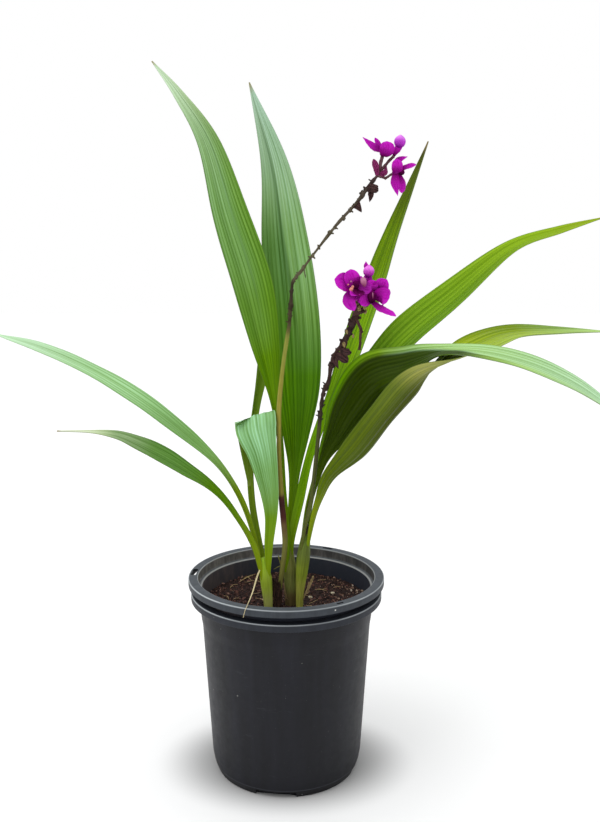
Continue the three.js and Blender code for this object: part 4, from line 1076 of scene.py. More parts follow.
# %% Stems
# For each stem: its rows, its edges as (where the edge starts, how it winds, its height), its dry
# sheath strips as (rows, facing), and its colours.
STEMS = {
    "stem_left": (
        ((-17.6, -24, 150.5, 3.8), (-17.6, -24, 178, 4.1), (-19.6, -24, 204, 5.8), (-22.6, -24, 229, 6.5)),
        ((3.9, 0.9, 0.1), (5.6, -0.6, 0.07)),
        (),
        dict(name="left_stem_skin", streaks=0.3,
             colours=[(0, "#9a9a58"), (0.4, "#b8be66"), (0.7, "#b0cc40"), (1, "#a4cc30")])),
    "stem_centre": (
        ((4.6, -12, 150.5, 5.2), (4.6, -12, 180, 5.6), (4, -12, 208, 6.3), (3.4, -12, 236, 7.2)),
        ((4.4, -1.2, 0.1), (5.9, 0.5, 0.08), (1.4, 0.3, 0.07)),
        ((((1.4, -15, 183, 3), (-0.6, -18, 191, 2.6), (-2.4, -18.6, 203, 1.2)), ((-0.6, -0.8, 0),)),),
        dict(name="centre_stem_skin", dark="#3a2a1c",
             colours=[(0, "#4e4028"), (0.4, "#655a36"), (0.6, "#86904a"), (0.85, "#888f44"),
                      (1, "#84903c")])),
    "stem_right": (
        ((13.4, -20, 150.5, 3.3), (13.8, -20, 190, 3.8), (16.4, -20, 222, 6.3), (20.8, -20.4, 262, 7)),
        ((4.1, 1.4, 0.1), (5.2, -0.4, 0.08), (2.0, 0.8, 0.06)),
        ((((15, -19.6, 183, 3.4), (20, -18, 191, 4.6), (24.4, -16, 200, 4.4), (27.6, -14.6, 209, 1.6)),
          ((-0.9, 0.1, 0.3), (-0.5, -0.8, 0.2))),
         (((15, -20.6, 183, 3), (19, -20.4, 190, 3.2), (23, -19.4, 204, 1.2)), ((-0.9, -0.1, 0.3),))),
        dict(name="right_stem_skin",
             colours=[(0, "#b0b050"), (0.4, "#b4b850"), (0.6, "#8ea030"), (0.8, "#66762c"), (0.92, "#5f7a24"),
                      (0.965, "#4c3232"), (1, "#3a2426")])),
}
STEM_RIBS = 24
SHEATH = dict(fold=(24,), stalk=0.1, columns=SLENDER, along=36, across=14, pleat=0.2, thin=0.5, ribs=5,
              rib_height=0.1, wave=2.2, seed=9)
papery = crumpled_finish("papery_sheath", "#8b6f48", "#cdb588", 180.0, 0.7, 0.3)


def wrapped(edges):
    """The radius of a stem of rolled leaf feet."""
    def shape(turn, t):
        radius = 1 + 0.012 * np.cos(STEM_RIBS * turn) + 0.02 * np.cos(2 * turn + 3 * t)
        for start, wind, step in edges:
            radius = radius + step * np.exp(-((turn - start - wind * t) % (2 * math.pi)) * 1.6)
        return radius - 0.45 * smooth_step(0.72, 1, t)
    return shape


for node, (rows, edges, sheaths, skin) in STEMS.items():
    growth = Growth().add(stalk(rows, 56, 110, wrapped(edges)))
    for strip, face in sheaths:
        growth.add(blade(strip, face, **SHEATH), 1)
    name = node.replace("stem_", "rolled_stem_")
    place_piece(name, growth, [stalk_finish(**skin), papery], node, "stem", 50)

# %% The old growth between the stems
STUMP = ((-8.6, -22, 150.5, 3.7), (-8.6, -22, 178, 3.8), (-8.6, -22, 192, 4.6), (-8.4, -22.5, 206, 4.2))
STUMP_FIBRES, STUMP_SEED, STUMP_AXIS = 22, 31, (-8.5, -22.4)
fibrous = crumpled_finish("fibrous_husk", "#150e0b", "#483329", 150.0, 0.85, 0.7)


def fibre_ridges(turn, t):
    ridges = 0.07 * np.cos(13 * turn + 5 * t) + 0.05 * np.cos(21 * turn - 9 * t)
    ridges = ridges + 0.06 * np.sin(3 * turn + 14 * t)
    return 1 + ridges - 0.3 * smooth_step(0.9, 1, t)


old = Growth().add(stalk(STUMP, 52, 70, fibre_ridges))
random = np.random.default_rng(STUMP_SEED)
for k in range(STUMP_FIBRES):
    turn = k * 2 * math.pi / STUMP_FIBRES + 0.2 * random.random()
    out = np.array((math.cos(turn), math.sin(turn)))
    foot = np.array(STUMP_AXIS) + out * 3.4
    tip = foot + out * (0.8 + 1.2 * random.random())
    top = 205 + 5.5 * random.random()
    old.add(stalk([(*foot, 198, 0.9), (*(foot + tip) / 2, 203, 0.8), (*tip, top, 0.25)], 6, 10))
place_piece("old_husk", old, [fibrous], "old_stump", "husk", 50)

# %% [markdown]
# ## Leaves
#
# Ten leaves, and no two alike. The long erect ones show their pleats best; the arching ones turn over
# and show a pale side with a painted sheen; one is bent sharply forward over its own stalk. Each leaf
# is one row of the table: the places its midrib passes with its width there, the way its upper side
# faces, and how far its halves are folded up. The colours come from a second table, from foot to tip.

# %% Shapes of the leaves
LEAVES = {
    "leaf_tall_left": dict(
        columns=8, stalk=0.36, fold=(0, 34, 20, 18, 18),
        rows=[(0.2, -16.4, 214, 3.8), (1.4, -17, 252, 6), (-2.4, -19, 300, 6.5), (-5.4, -23, 348, 7.5),
              (-11, -27, 393, 11), (-20, -27, 446, 30), (-33, -18, 504, 41), (-54, 0, 567, 37),
              (-76, 26, 636, 24), (-106, 48, 684, 12), (-134, 66, 719, 1.4)],
        face=[(0, -1, 0.1), (0.15, -1, 0.1), (0.3, -1, 0.15), (0.4, -1, 0.3)]),
    "leaf_tall_centre": dict(
        columns=8, stalk=0.34, fold=(0, 30, 16, 16, 16),
        rows=[(5, -8, 214, 3.8), (4, -5, 254, 6.5), (8, 2, 307, 12), (10, 6, 350, 29), (10, 12, 400, 50),
              (7, 22, 464, 55), (-1, 40, 538, 49), (-12, 62, 618, 29), (-38, 88, 702, 1.4)],
        face=[(0, -1, 0.1), (0, -1, 0.1), (0, -1, 0.2), (0.1, -1, 0.3)]),
    "leaf_tall_right": dict(
        columns=8, stalk=0.36, fold=(0, 36, 22, 22, 22),
        rows=[(3.6, -12.4, 214, 3.8), (5.6, -14, 247, 8), (16, -14.5, 292, 12.5), (27, -8, 337, 12),
              (46, 4, 382, 20), (68, 20, 426, 40), (89, 38, 480, 45), (112, 58, 550, 29),
              (146, 82, 643, 1.4)],
        face=[(-0.2, -1, 0.1), (-0.6, -1, 0.1), (-0.9, -0.7, 0.1), (-0.9, -0.5, 0.2), (-0.9, -0.6, 0.2)]),
    "leaf_upper_right": dict(
        columns=6, stalk=0.34, fold=(0, 34, 18, 16, 16),
        rows=[(20.4, -17, 240, 3.4), (24, -10, 280, 6.5), (35, -2, 326, 9), (52, 8, 368, 19),
              (82, 20, 408, 29), (121, 32, 448, 41), (171, 46, 488, 37), (230, 58, 535, 19),
              (282, 66, 553, 12), (328, 72, 566, 1.4)],
        face=[(-0.5, -0.8, 0.1), (-0.5, -0.8, 0.3), (-0.4, -0.7, 0.6), (-0.3, -0.7, 0.7), (0, -0.6, 0.8)]),
    "leaf_arch_right": dict(
        columns=8, stalk=0.26, fold=(0, 26, 10, 6, 8),
        rows=[(15.6, -17.6, 240, 3.4), (22.6, -18, 284, 6.5), (35, -19, 328, 11), (48, -22, 359, 31),
              (61, -28, 388, 49), (82, -34, 414, 49), (115, -44, 427, 43), (152, -62, 442.6, 46),
              (202, -86, 439, 32), (253, -106, 420, 28), (306, -126, 384, 1.4)],
        face=[(0, -1, 0.1), (0.1, -1, 0.05), (0.2, -1, 0), (0.25, -0.95, -0.1), (0.3, -0.9, -0.1),
              (0.25, -0.8, 0.25), (0.1, -0.66, 0.62), (0, -0.12, 1), (0.1, -0.35, 0.93), (0.2, -0.4, 0.93),
              (0.3, -0.4, 0.9)]),
    "leaf_low_right": dict(
        columns=8, stalk=0.16, fold=(0, 12, 10, 8, 8),
        rows=[(20.8, -22.8, 240, 3.4), (26.4, -26.5, 271, 7), (33.5, -32, 295, 11), (43.5, -40, 318, 21),
              (67, -52, 345, 37), (93, -64, 383, 38), (120.6, -70, 416.6, 42), (152, -61, 434.6, 33),
              (182, -33, 444.2, 41), (220, -4, 453, 38), (275, 22, 453, 26), (332, 42, 451, 1.4)],
        face=[(-0.6, 0.75, 0.1), (-0.6, 0.75, 0.1), (-0.6, 0.75, 0.1), (-0.6, 0.75, 0.2), (-0.5, 0.75, 0.3),
              (-0.4, 0.75, 0.5), (-0.3, 0.65, 0.7), (-0.2, 0.02, 1), (-0.1, -0.3, 0.95), (0, -0.25, 1),
              (0.1, -0.15, 1), (0.1, -0.15, 1)]),
    "leaf_long_left": dict(
        columns=6, stalk=0.36, fold=(0, 34, 18, 16, 16),
        rows=[(-23.4, -21.2, 208, 3.2), (-30, -20, 243, 5), (-43, -18, 284, 8), (-65, -8, 319, 10),
              (-100, 12, 347, 19), (-151, 38, 379, 27), (-208, 66, 407, 25), (-268, 98, 427, 20),
              (-327, 129, 440, 1.4)],
        face=[(0.3, -0.8, 0.5), (0.4, -0.6, 0.7), (0.2, -0.4, 0.9), (0.1, -0.3, 0.95), (-0.1, -0.35, 0.95)]),
    "leaf_short_left": dict(
        columns=6, stalk=0.34, fold=(0, 30, 18, 14, 20),
        rows=[(-22.8, -27, 208, 3.2), (-31, -30, 243, 7), (-47, -34, 274, 8), (-68, -38, 303, 12),
              (-98, -42, 326, 23), (-131, -46, 346, 30), (-158, -50, 360, 19), (-184, -54, 365.4, 6),
              (-214, -58, 367, 1.4)],
        face=[(0.3, -0.8, 0.5), (0.4, -0.6, 0.7), (0.2, -0.4, 0.9), (0.1, -0.25, 0.95), (-0.1, -0.35, 0.95)]),
    "leaf_bent_front": dict(
        columns=8, stalk=0.2, fold=(0, 22, 10, 6, 2, -4, -7, -4, 0), pleat=0.5, wave=0.4,
        rows=[(-17.8, -26.4, 208, 3.2), (-17, -28, 244, 9), (-14.4, -32, 276, 12.5), (-15.4, -37, 300, 17.5),
              (-18.6, -42, 323, 23), (-22.4, -46, 344.6, 29), (-27.6, -46, 364.8, 38.5),
              (-29.8, -40, 378.8, 40), (-33, -29.6, 363.4, 30), (-35.4, -21.5, 340, 18),
              (-36, -19.5, 304, 2.4)],
        face=[(0, -1, 0.1), (0, -1, 0.1), (0, -1, 0.1), (0, -1, 0.1), (0, -1, 0.1), (0, -1, 0.2),
              (-0.1, -0.7, 0.7), (-0.3, 0, 1), (-0.2, 0.8, 0.6), (-0.1, 1, 0.2), (0, 1, 0)]),
    "leaf_slender_back": dict(
        columns=6, stalk=0.5, fold=(0, 30, 24, 24),
        rows=[(-17.8, -21, 208, 3.2), (-27, -14, 245, 6.4), (-34.4, -6, 288, 7.4), (-35.6, -1, 336, 8),
              (-30, 6, 380, 9), (-25, 13, 413, 14), (-22, 18, 450, 18), (-24, 22, 484, 14),
              (-31, 28, 516, 1.4)],
        face=[(0, -1, 0.1), (0, -1, 0.1), (0.6, -0.8, 0.1), (0.6, -0.8, 0.1)]),
}
widest = max(row[3] for leaf in LEAVES.values() for row in leaf["rows"])
print(len(LEAVES), "leaves, the widest", widest, "mm")

# %% Colours of the leaves
# Where a leaf's other half has colours of its own, they are painted light and shade. The sheen colours and
# the pale tips are a painted sheen of sky reflection, and a crease is a painted shadow line along a sharp
# fold.
LEAF_LOOKS = {
    "leaf_tall_left": dict(
        top=[(0, "#7d9a30"), (0.3, "#729c10"), (0.45, "#6ea010"), (0.56, "#70a430"), (0.7, "#78ac60"),
             (0.8, "#84b078"), (1, "#bcd8bc")],
        top_painted_light=[(0, "#6f9a18"), (0.4, "#649000"), (0.6, "#6ca000"), (0.7, "#76aa40"), (0.78, "#7cae64"),
                  (1, "#a3bb9c")], painted_light_to=0.75, painted_sheen="#a4ccac",
        painted_sheen_line=[(0.48, 0), (0.56, 0.1), (0.66, 0.3), (0.8, 0.55), (1, 0.75)], painted_sheen_side=(0.9, 0.5, 0.35, 1),
        tip="#cfe2d2", tip_from=0.74, crease=(0.5, 0.12, 0.05, 0.5), contrast=0.6, furrow_shading=0.6, threads=0.75),
    "leaf_tall_centre": dict(
        top=[(0, "#9ab83a"), (0.3, "#6a9a10"), (0.5, "#64a010"), (0.62, "#5e9828"), (0.74, "#5c9050"),
             (0.85, "#7aa684"), (1, "#9cb0aa")],
        top_painted_light=[(0, "#6f8f2a"), (0.4, "#588c14"), (0.52, "#5f9a28"), (0.7, "#86b88c"), (0.9, "#9cc0aa"),
                  (1, "#98a4a0")], painted_light_from=0.4, painted_light_to=0.62, painted_sheen="#a0ccb0",
        painted_sheen_line=[(0.52, 0), (0.62, 0.12), (0.74, 0.42), (0.84, 0.6), (1, 0.8)], painted_sheen_side=(0.2, 0.7, 0.3, 1),
        tip="#b0ccc4", tip_from=0.74, crease=(0.92, -0.6, 0.06, 0.56), contrast=0.6, furrow_shading=0.6,
        threads=0.75),
    "leaf_tall_right": dict(
        top=[(0, "#86a83a"), (0.35, "#7cb40c"), (0.7, "#8cc006"), (0.86, "#7ca40e"), (0.94, "#5c7418"),
             (1, "#4a4a20")], painted_sheen="#9cbc78", painted_sheen_line=[(0, 0), (1, 0)], crease=(0.55, 0, 0.06, 0.45),
        contrast=0.55, furrow_shading=0.6, threads=0.7),
    "leaf_upper_right": dict(
        top=[(0, "#8cae38"), (0.3, "#6aa20e"), (0.6, "#8cc00e"), (0.8, "#9cca1e"), (1, "#a2be50")],
        top_painted_light=[(0, "#86aa30"), (0.35, "#5a8a0c"), (0.6, "#78ac0c"), (1, "#9cbe48")], painted_light_from=0.55,
        painted_light_to=0.9, painted_sheen="#9cb87c", painted_sheen_line=[(0, 0), (0.3, 0.1), (0.6, 0.06), (1, 0)], count=8),
    # The other half's dark colours up to the crest are painted shade under the arch; past the crest the pale
    # painted sheen takes over.
    "leaf_arch_right": dict(
        top=[(0, "#93b43a"), (0.28, "#7fb60e"), (0.45, "#78b40e"), (0.6, "#a0cc60"), (0.75, "#b8e4b8"),
             (1, "#b8e4b0")],
        top_painted_light=[(0, "#6a8228"), (0.2, "#435c10"), (0.45, "#3a4f0c"), (0.72, "#3b560e"), (0.79, "#9cc880"),
                  (0.83, "#b8e6b0"), (1, "#b8e4b4")], painted_light_from=0.07, painted_light_to=0.18, painted_light_slide=(0.6, 0.82, 0, 0.6),
        painted_sheen="#bce6c4", painted_sheen_line=[(0.54, 0), (0.64, 0.42), (0.78, 0.6), (1, 0.7)], painted_sheen_side=(0.22, 0.12, 0, 1),
        tip="#c4e6cc"),
    # The pale band in the other half of the underside near the crest is a painted highlight, and the paler
    # top of that half is painted sheen.
    "leaf_low_right": dict(
        top=[(0, "#7f9f38"), (0.5, "#7a9a24"), (0.62, "#8a9c20"), (0.7, "#a8c41c"), (0.82, "#8fae30"),
             (1, "#a8d0a4")],
        top_painted_light=[(0, "#7f9f38"), (0.55, "#86a03a"), (0.7, "#b4d48c"), (0.85, "#bcdca0"), (1, "#b8dca8")],
        under=[(0, "#86a038"), (0.15, "#7c9418"), (0.3, "#586e1c"), (0.5, "#4f5c24"), (0.62, "#6f7c38"),
               (1, "#8fae70")],
        under_painted_light=[(0, "#86a038"), (0.12, "#8ca41c"), (0.22, "#66801e"), (0.4, "#667c34"), (0.5, "#74885a"),
                    (0.57, "#b8bcb0"), (0.64, "#8f9c3c"), (1, "#8fae70")], painted_light_from=0.15, painted_light_to=0.9,
        painted_sheen="#b8dca0", painted_sheen_line=[(0.84, 0), (1, 0.6)]),
    "leaf_long_left": dict(
        top=[(0, "#9cb43c"), (0.25, "#7f9f30"), (0.5, "#70a658"), (0.75, "#98cf9c"), (1, "#a8c8b0")],
        painted_sheen="#b4e0bc", painted_sheen_line=[(0.3, 0), (0.5, 0.3), (0.7, 0.7), (1, 0.75)], tip="#c4e2cc", tip_from=0.6,
        margin="#7a8a74", count=8, contrast=0.6, furrow_shading=0.6),
    "leaf_short_left": dict(
        top=[(0, "#9cb43c"), (0.35, "#5f9018"), (0.55, "#529016"), (0.75, "#629450"), (0.9, "#bfcab4"),
             (1, "#a88c74")], painted_sheen="#ccdcc8",
        painted_sheen_line=[(0.4, 0), (0.6, 0.08), (0.75, 0.4), (0.88, 0.85), (1, 0.5)], tip="#dfe4da", tip_from=0.8,
        margin="#5f5a44", count=8, contrast=0.6, furrow_shading=0.6),
    # On the underside the paler band just before the fold is painted light, and the dark colour past it is
    # painted shade on the hanging tip.
    "leaf_bent_front": dict(
        top=[(0, "#8fae3a"), (0.25, "#74a43c"), (0.45, "#78ae68"), (0.65, "#8cc090"), (1, "#5f8a3a")],
        under=[(0, "#7f9a3d"), (0.6, "#6c9c6c"), (0.77, "#78a87c"), (0.83, "#5f7c20"), (1, "#637c24")],
        painted_sheen="#a8dcc0", painted_sheen_line=[(0.2, 0), (0.4, 0.3), (0.6, 0.68), (0.78, 0.7), (0.86, 0)],
        painted_sheen_side=(0, 0.08, 0.5, 1), margin="#8fae88", dry="#6f8030"),
    "leaf_slender_back": dict(
        top=[(0, "#86a038"), (0.25, "#68861c"), (0.5, "#6c8e1c"), (0.8, "#84ac20"), (1, "#7aa040")],
        painted_sheen="#8fb070", painted_sheen_line=[(0, 0), (1, 0.1)], count=8),
}
print("colours for", len(LEAF_LOOKS), "leaves")

# %% Growing the leaves
LEAF_SEED, BROAD_RIBS, SLENDER_RIBS = 20, 12, 8
PALE_LEAVES = ("leaf_long_left", "leaf_short_left", "leaf_bent_front")
for number, (node, leaf) in enumerate(LEAVES.items()):
    name = node.replace("leaf_", "") + "_leaf"
    finish = leaf_finish(name + "_skin", seed=number + 1.0, **LEAF_LOOKS[node])
    ribs = BROAD_RIBS if leaf["columns"] == BROAD else SLENDER_RIBS
    slot = "leaf_pale" if node in PALE_LEAVES else "leaf_green"
    form = blade(**leaf, seed=LEAF_SEED + number, ribs=ribs)
    place_piece(name, Growth().add(form), [finish], node, slot, 60)

# %% [markdown]
# ## Flower spikes
#
# A flower stalk rises from the foot of a growth. Low down it is smooth and olive green. Higher up
# the old flowers have dropped, and each has left a blunt stub and a dry bract on a zigzag, dark
# stalk. Near the tip hang a few withered flowers and, on the right stalk, some seed pods. The stalk
# and all of these are one piece, as they are one growth; only the living blooms and buds are pieces
# of their own. The petals are small blades, and their outlines come from a short table.

# %% Petals
PETAL = dict(fold=(14,), stalk=0.1, columns=SLENDER, along=26, across=16, pleat=0.0, thin=0.8, ribs=2,
             rib_height=0.12)
PETAL_ROWS, TIP_FROM, TIP_LENGTH = 17, 0.84, 0.16
WIDTHS = {
    "round": (0.34, 0.86, 1, 0.86, 0.36),
    "pointed": (0.4, 0.86, 1, 0.6, 0.08),
    "strap": (0.5, 0.84, 1, 0.9, 0.4),
    "shrunk": (1, 0.94, 0.7, 0.42, 0.1),
}


def petal(foot, middle, tip, width, face, kind, seed, wave=1.6):
    """A cupped petal from its foot over its middle to its tip."""
    s = np.linspace(0, 1, PETAL_ROWS)
    wide = spline([(share,) for share in WIDTHS[kind]], s)[:, 0] * width
    wide = wide * np.sqrt(np.maximum(0.02, 1 - np.clip((s - TIP_FROM) / TIP_LENGTH, 0, 1) ** 2))
    rows = np.column_stack([spline([foot, middle, tip], s), wide])
    return blade(rows, [face], **PETAL, wave=wave, seed=seed)


print("petal outlines:", ", ".join(WIDTHS))

# %% Shapes of the spikes
# Shoots are (start, end, first radius, last radius), scales are (start, lean, radius), and husks are
# petals that have withered.
SPIKES = {
    "spike_left": dict(
        rows=[(-6.4, -23.4, 196, 2), (-5, -24, 210, 2.4), (-1.1, -26, 245, 2.6), (-2.4, -28, 272, 2.9),
              (-4.4, -31, 297, 2.8), (-6.2, -35, 334, 2.3), (-6.1, -39, 364, 2.2), (-5.8, -42, 389, 2.3),
              (-2.4, -44, 423, 2), (1, -45, 447, 2), (4.2, -44, 468, 1.8), (5.6, -42, 488, 1.7),
              (7.5, -40, 505, 1.6), (15, -38, 515, 1.5), (25.6, -35, 529, 1.5), (42, -31, 550, 1.6),
              (55, -27, 565, 1.7), (68, -22, 579, 1.8), (79, -17, 594, 1.9), (86.6, -13, 603, 2),
              (89.6, -12, 609, 1.7)],
        shoots=[((88, -12.5, 605), (91, -12, 620), 2, 1.6), ((89, -12, 607), (102, -9, 621), 1.6, 1.4),
                ((87, -13, 603), (95, -12, 600.5), 1.4, 1.3),
                ((94.4, -12, 600.7), (101.6, -10.8, 605), 1.3, 1.2)],
        scales=[((-3.6, -25, 220), (-4, -1.4, 15), 1.6), ((-4.6, -25, 224), (-8, 0, -5), 0.8),
                ((-4.5, -42, 388), (-1.8, -0.8, 3.2), 1.5), ((0.9, -45, 446), (-1.9, -0.8, 3.2), 1.4),
                ((4.8, -43.6, 472), (2.2, -0.8, 2.4), 1.4), ((5.2, -42.5, 483), (-2.7, -0.8, 2.1), 1.4),
                ((6.2, -41, 496), (-2.6, -0.8, 1.6), 1.4), ((11, -39, 509), (-1.1, -0.8, 3.5), 1.4),
                ((17.5, -37, 518), (2, -2, -14), 1), ((25.6, -35, 529), (2.7, -0.8, -2.1), 1.5),
                ((32, -33.5, 537), (-1.6, -0.8, 2.9), 1.4), ((42, -31, 550), (3.2, -0.8, -1.6), 1.5),
                ((47, -29.5, 555), (3.2, -0.8, -1.3), 1.4), ((55, -27, 564), (-2.1, -0.8, 3.2), 1.4),
                ((61, -24.5, 571), (3.2, -1.6, -2.4), 1.5), ((72, -20.4, 585), (-2.9, -0.8, 2.4), 1.7),
                ((76, -18, 590), (-2.4, -0.8, 2.4), 1.8)],
        husks=[((65.6, -23, 577), (68.4, -25, 573.6), (71.6, -25, 569), 9, (-0.2, -1, 0.3), "shrunk"),
               ((76, -18.4, 590), (82, -20, 591), (87.4, -18, 588.6), 8.6, (0, -1, 0.2), "strap"),
               ((79.6, -17.2, 592.4), (80.6, -19, 585), (79.4, -18, 578.6), 5.6, (-0.3, -1, 0), "pointed"),
               ((86.4, -13.4, 603.6), (85.4, -16, 610.6), (82.6, -16, 618), 6.6, (-0.5, -0.8, 0.1), "strap"),
               ((89, -13, 604), (93.4, -14.6, 606), (95.2, -14, 611.4), 6, (0.4, -0.9, 0), "pointed")]),
    "spike_right": dict(
        rows=[(15.4, -23.6, 240, 1.7), (18.4, -26.4, 262, 1.9), (22.4, -30, 280, 2), (25.4, -32.4, 296, 2),
              (27.2, -35, 313, 2), (29.2, -38.5, 333, 2), (32.2, -43, 366, 1.9), (33.4, -44.5, 383, 2.1),
              (36, -45, 401, 1.9), (41, -46, 413, 2.2), (44, -47, 431, 2.2), (48.5, -47, 441, 2.4),
              (54, -47, 448, 2.8), (59, -47, 457, 3), (62.6, -47, 466, 2.8), (65.4, -47, 476, 2.5),
              (69, -47, 484, 1.8)],
        shoots=[((65, -47, 473), (66, -51, 487), 2, 1.6), ((66, -47, 475), (79.4, -49.6, 487.6), 2, 1.6),
                ((68, -47, 480), (75, -46, 502), 1.6, 1.4), ((66, -48, 473), (71.4, -51, 459), 1.6, 1.5),
                ((70.6, -50.6, 461), (69.4, -51, 443), 1.5, 1.2)],
        scales=[((33, -44, 381), (-2.2, -2, 3.4), 1.9), ((36, -45, 399), (2.6, -1, 1.4), 1.6),
                ((38.4, -45.4, 407), (-3, -1, 2.6), 2.2), ((43.6, -47, 428), (-2.2, -1, 4.6), 2.1),
                ((46.4, -47, 437), (-3.4, -2, 0.6), 1.8), ((54, -47, 449), (-4, -2, 4.4), 2.4),
                ((59.6, -47, 459), (-4.2, -2, 1.4), 1.9), ((62.4, -47, 466), (-2.6, -2, 5.4), 2.2),
                ((66, -48, 473), (5.4, -2, -0.6), 3), ((67, -48, 477), (7, -3, 2), 2.4),
                ((64, -47, 470), (-4, -2, -1), 1.6), ((60, -48, 459), (3.8, -1, -3.6), 2.2)],
        husks=[((47, -48, 439), (53, -51, 436), (59, -50, 431), 9, (0.2, -1, 0.2), "round"),
               ((51, -48, 444), (56, -51, 441), (62, -50, 440), 8, (0.3, -0.8, 0.5), "round"),
               ((48, -48, 438), (47, -51, 432), (50, -50, 425), 6, (-0.2, -1, 0), "pointed")]),
}
print("scales on each spike:", [len(spike["scales"]) for spike in SPIKES.values()])

# %% Finishes of the spikes
SPIKE_FINISHES = {
    "spike_left": stalk_finish(
        "left_flower_stalk",
        [(0, "#6b6a34"), (0.1, "#7d7c3a"), (0.135, "#6e5a34"), (0.157, "#4c1c18"), (0.19, "#3c1012"),
         (0.198, "#4c1c18"), (0.206, "#8a8030"), (0.35, "#a0983c"), (0.45, "#969a40"), (0.5, "#4f442e"),
         (0.57, "#3c3226"), (0.64, "#6a644c"), (0.84, "#5c5344"), (0.9, "#3a2c2a"), (1, "#6d4a52")],
        count=6.0, seed=4.0, rough=0.5, streaks=0.3, dark="#2a221a", grain=170.0, spotted=0.9,
        clean_to=0.46),
    "spike_right": stalk_finish(
        "right_flower_stalk",
        [(0, "#66702c"), (0.2, "#586228"), (0.36, "#4c5026"), (0.42, "#3a3226"), (0.5, "#3f2e2a"),
         (0.7, "#4a3230"), (0.85, "#3c2828"), (1, "#5a3a38")],
        count=6.0, seed=5.0, rough=0.55, streaks=0.4, dark="#1f1612", grain=200.0, spotted=0.8,
        clean_to=0.38),
}
withered = crumpled_finish("withered_petal", "#150d0e", "#5a3d3c", 240.0, 0.7, 0.5)
maroon_bract = crumpled_finish("maroon_bract", "#4c0a34", "#98306e", 260.0, 0.6, 0.3)
seed_pod = crumpled_finish("dried_seed_pod", "#4a4020", "#b09a68", 300.0, 0.65, 0.3)
print("finishes of what has dried:", withered.name, maroon_bract.name, seed_pod.name)

# %% Growing the spikes
# Where the lower blooms have fallen their pods stay: a place and a size each.
SEED_PODS = {
    "spike_left": (),
    "spike_right": ((65.4, -51, 485.6, 2.1), (68.6, -51.4, 481, 1.9), (73.6, -51, 483, 2.2),
                    (74.6, -50, 478, 1.7), (57.4, -50, 459.4, 1.5), (55, -50.4, 447.6, 1.8),
                    (63.4, -50.6, 456, 1.7)),
}
ROUGH_FROM = {"spike_left": 0.47, "spike_right": 0.38}      # where the stalk turns knotty
SMALL_SCALES = {"spike_left": 26, "spike_right": 22}
FIRST_BRACT = 3             # the left spike's husks from here on are maroon bracts
STUB_LINE = ((0, 0.9), (0.45, 0.72), (0.8, 0.62), (1, 0.3))     # how far along it, and how thick
SPIKE_SEED, HUSK_SEED, POD_SEED = 37, 60, 150


def weathered(rough_from):
    """A stalk's radius: faint ridges low down, and a knotty, shrunken surface past rough_from."""
    def shape(turn, t):
        dry = smooth_step(rough_from, rough_from + 0.06, t)
        knots = 0.07 * np.sin(3 * turn + 70 * t) + 0.06 * np.sin(2 * turn - 115 * t)
        knots = knots + 0.05 * np.sin(7 * turn + 31 * t)
        swell = 0.16 * np.sin(97 * t + 1.7 * np.sin(41 * t)) - 0.16
        return 1 + 0.04 * np.cos(5 * turn + 6 * t) + dry * (knots + swell)
    return shape


def crumple(turn, t):
    return 1 + 0.16 * np.sin(3 * turn + 7 * t) + 0.12 * np.sin(5 * turn - 11 * t)


def coloured_at(form, along):
    """The form with the colour that the stalk has at one height."""
    form[2][:, 1] = along
    return form


def stub(start, lean, radius, along):
    """A dry stub, with the colour of the stalk where it stands."""
    start, lean = np.array(start, float), np.array(lean, float)
    rows = [(*(start + way * lean), radius * thick) for way, thick in STUB_LINE]
    return coloured_at(stalk(rows, 12, 12, crumple), along)


for node, spike in SPIKES.items():
    rows, rough_from = spike["rows"], ROUGH_FROM[node]
    heights = [row[2] for row in rows]
    steps = np.linspace(0, 1, len(heights))
    growth = Growth().add(stalk(rows, 18, 240, weathered(rough_from)))
    for start, end, first, last in spike["shoots"]:
        middle = [(a + b) / 2 for a, b in zip(start, end)]
        shoot = [(*start, first), (*middle, (first + last) / 2 - 0.2), (*end, last)]
        growth.add(coloured_at(stalk(shoot, 12, 16, crumple), 1.0))
    random = np.random.default_rng(SPIKE_SEED)
    for number, (start, lean, radius) in enumerate(spike["scales"]):
        height = float(np.interp(start[2], heights, steps))
        lean = np.array(lean) * (0.7 + 0.4 * random.random()) + random.normal(0, 0.35, 3)
        growth.add(stub(start, lean, radius * (0.6 + 0.3 * random.random()), height))
        if height > rough_from:
            middle = spline(rows, np.array([height]))[0]
            knot = lump(0.5 * (middle[:3] + np.array(start)), middle[3] * (1.0 + 0.25 * random.random()),
                        (1, 1, 1.3), seed=number, rough=0.35, sides=12, rings=8)
            growth.add(coloured_at(knot, height))
    for _ in range(SMALL_SCALES[node]):
        height = rough_from + 0.02 + (0.9 - rough_from) * random.random() ** 1.6
        middle = spline(rows, np.array([height]))[0]
        way = unit(random.normal(0, 1, 3) * (1, 1, 0.5))
        reach = middle[3] * (1.1 + 0.5 * random.random())
        growth.add(stub(middle[:3] + way * middle[3] * 0.5, way * reach + (0, 0, 0.5 * reach), 0.9, height))
    for number, husk in enumerate(spike["husks"]):
        bract = node == "spike_left" and number >= FIRST_BRACT
        growth.add(petal(*husk, HUSK_SEED + number, 2.0 if bract else 5.0), 2 if bract else 1)
    for number, (*at, radius) in enumerate(SEED_PODS[node]):
        pod = lump(at, radius, (0.8, 0.8, 1.4), seed=POD_SEED + number, rough=0.3, sides=14, rings=10)
        growth.add(pod, 3)
    place_piece(node.replace("spike_", "") + "_flower_stalk", growth,
                [SPIKE_FINISHES[node], withered, maroon_bract, seed_pod],
                node, "spike_green" if node == "spike_left" else "spike_dark", 50)

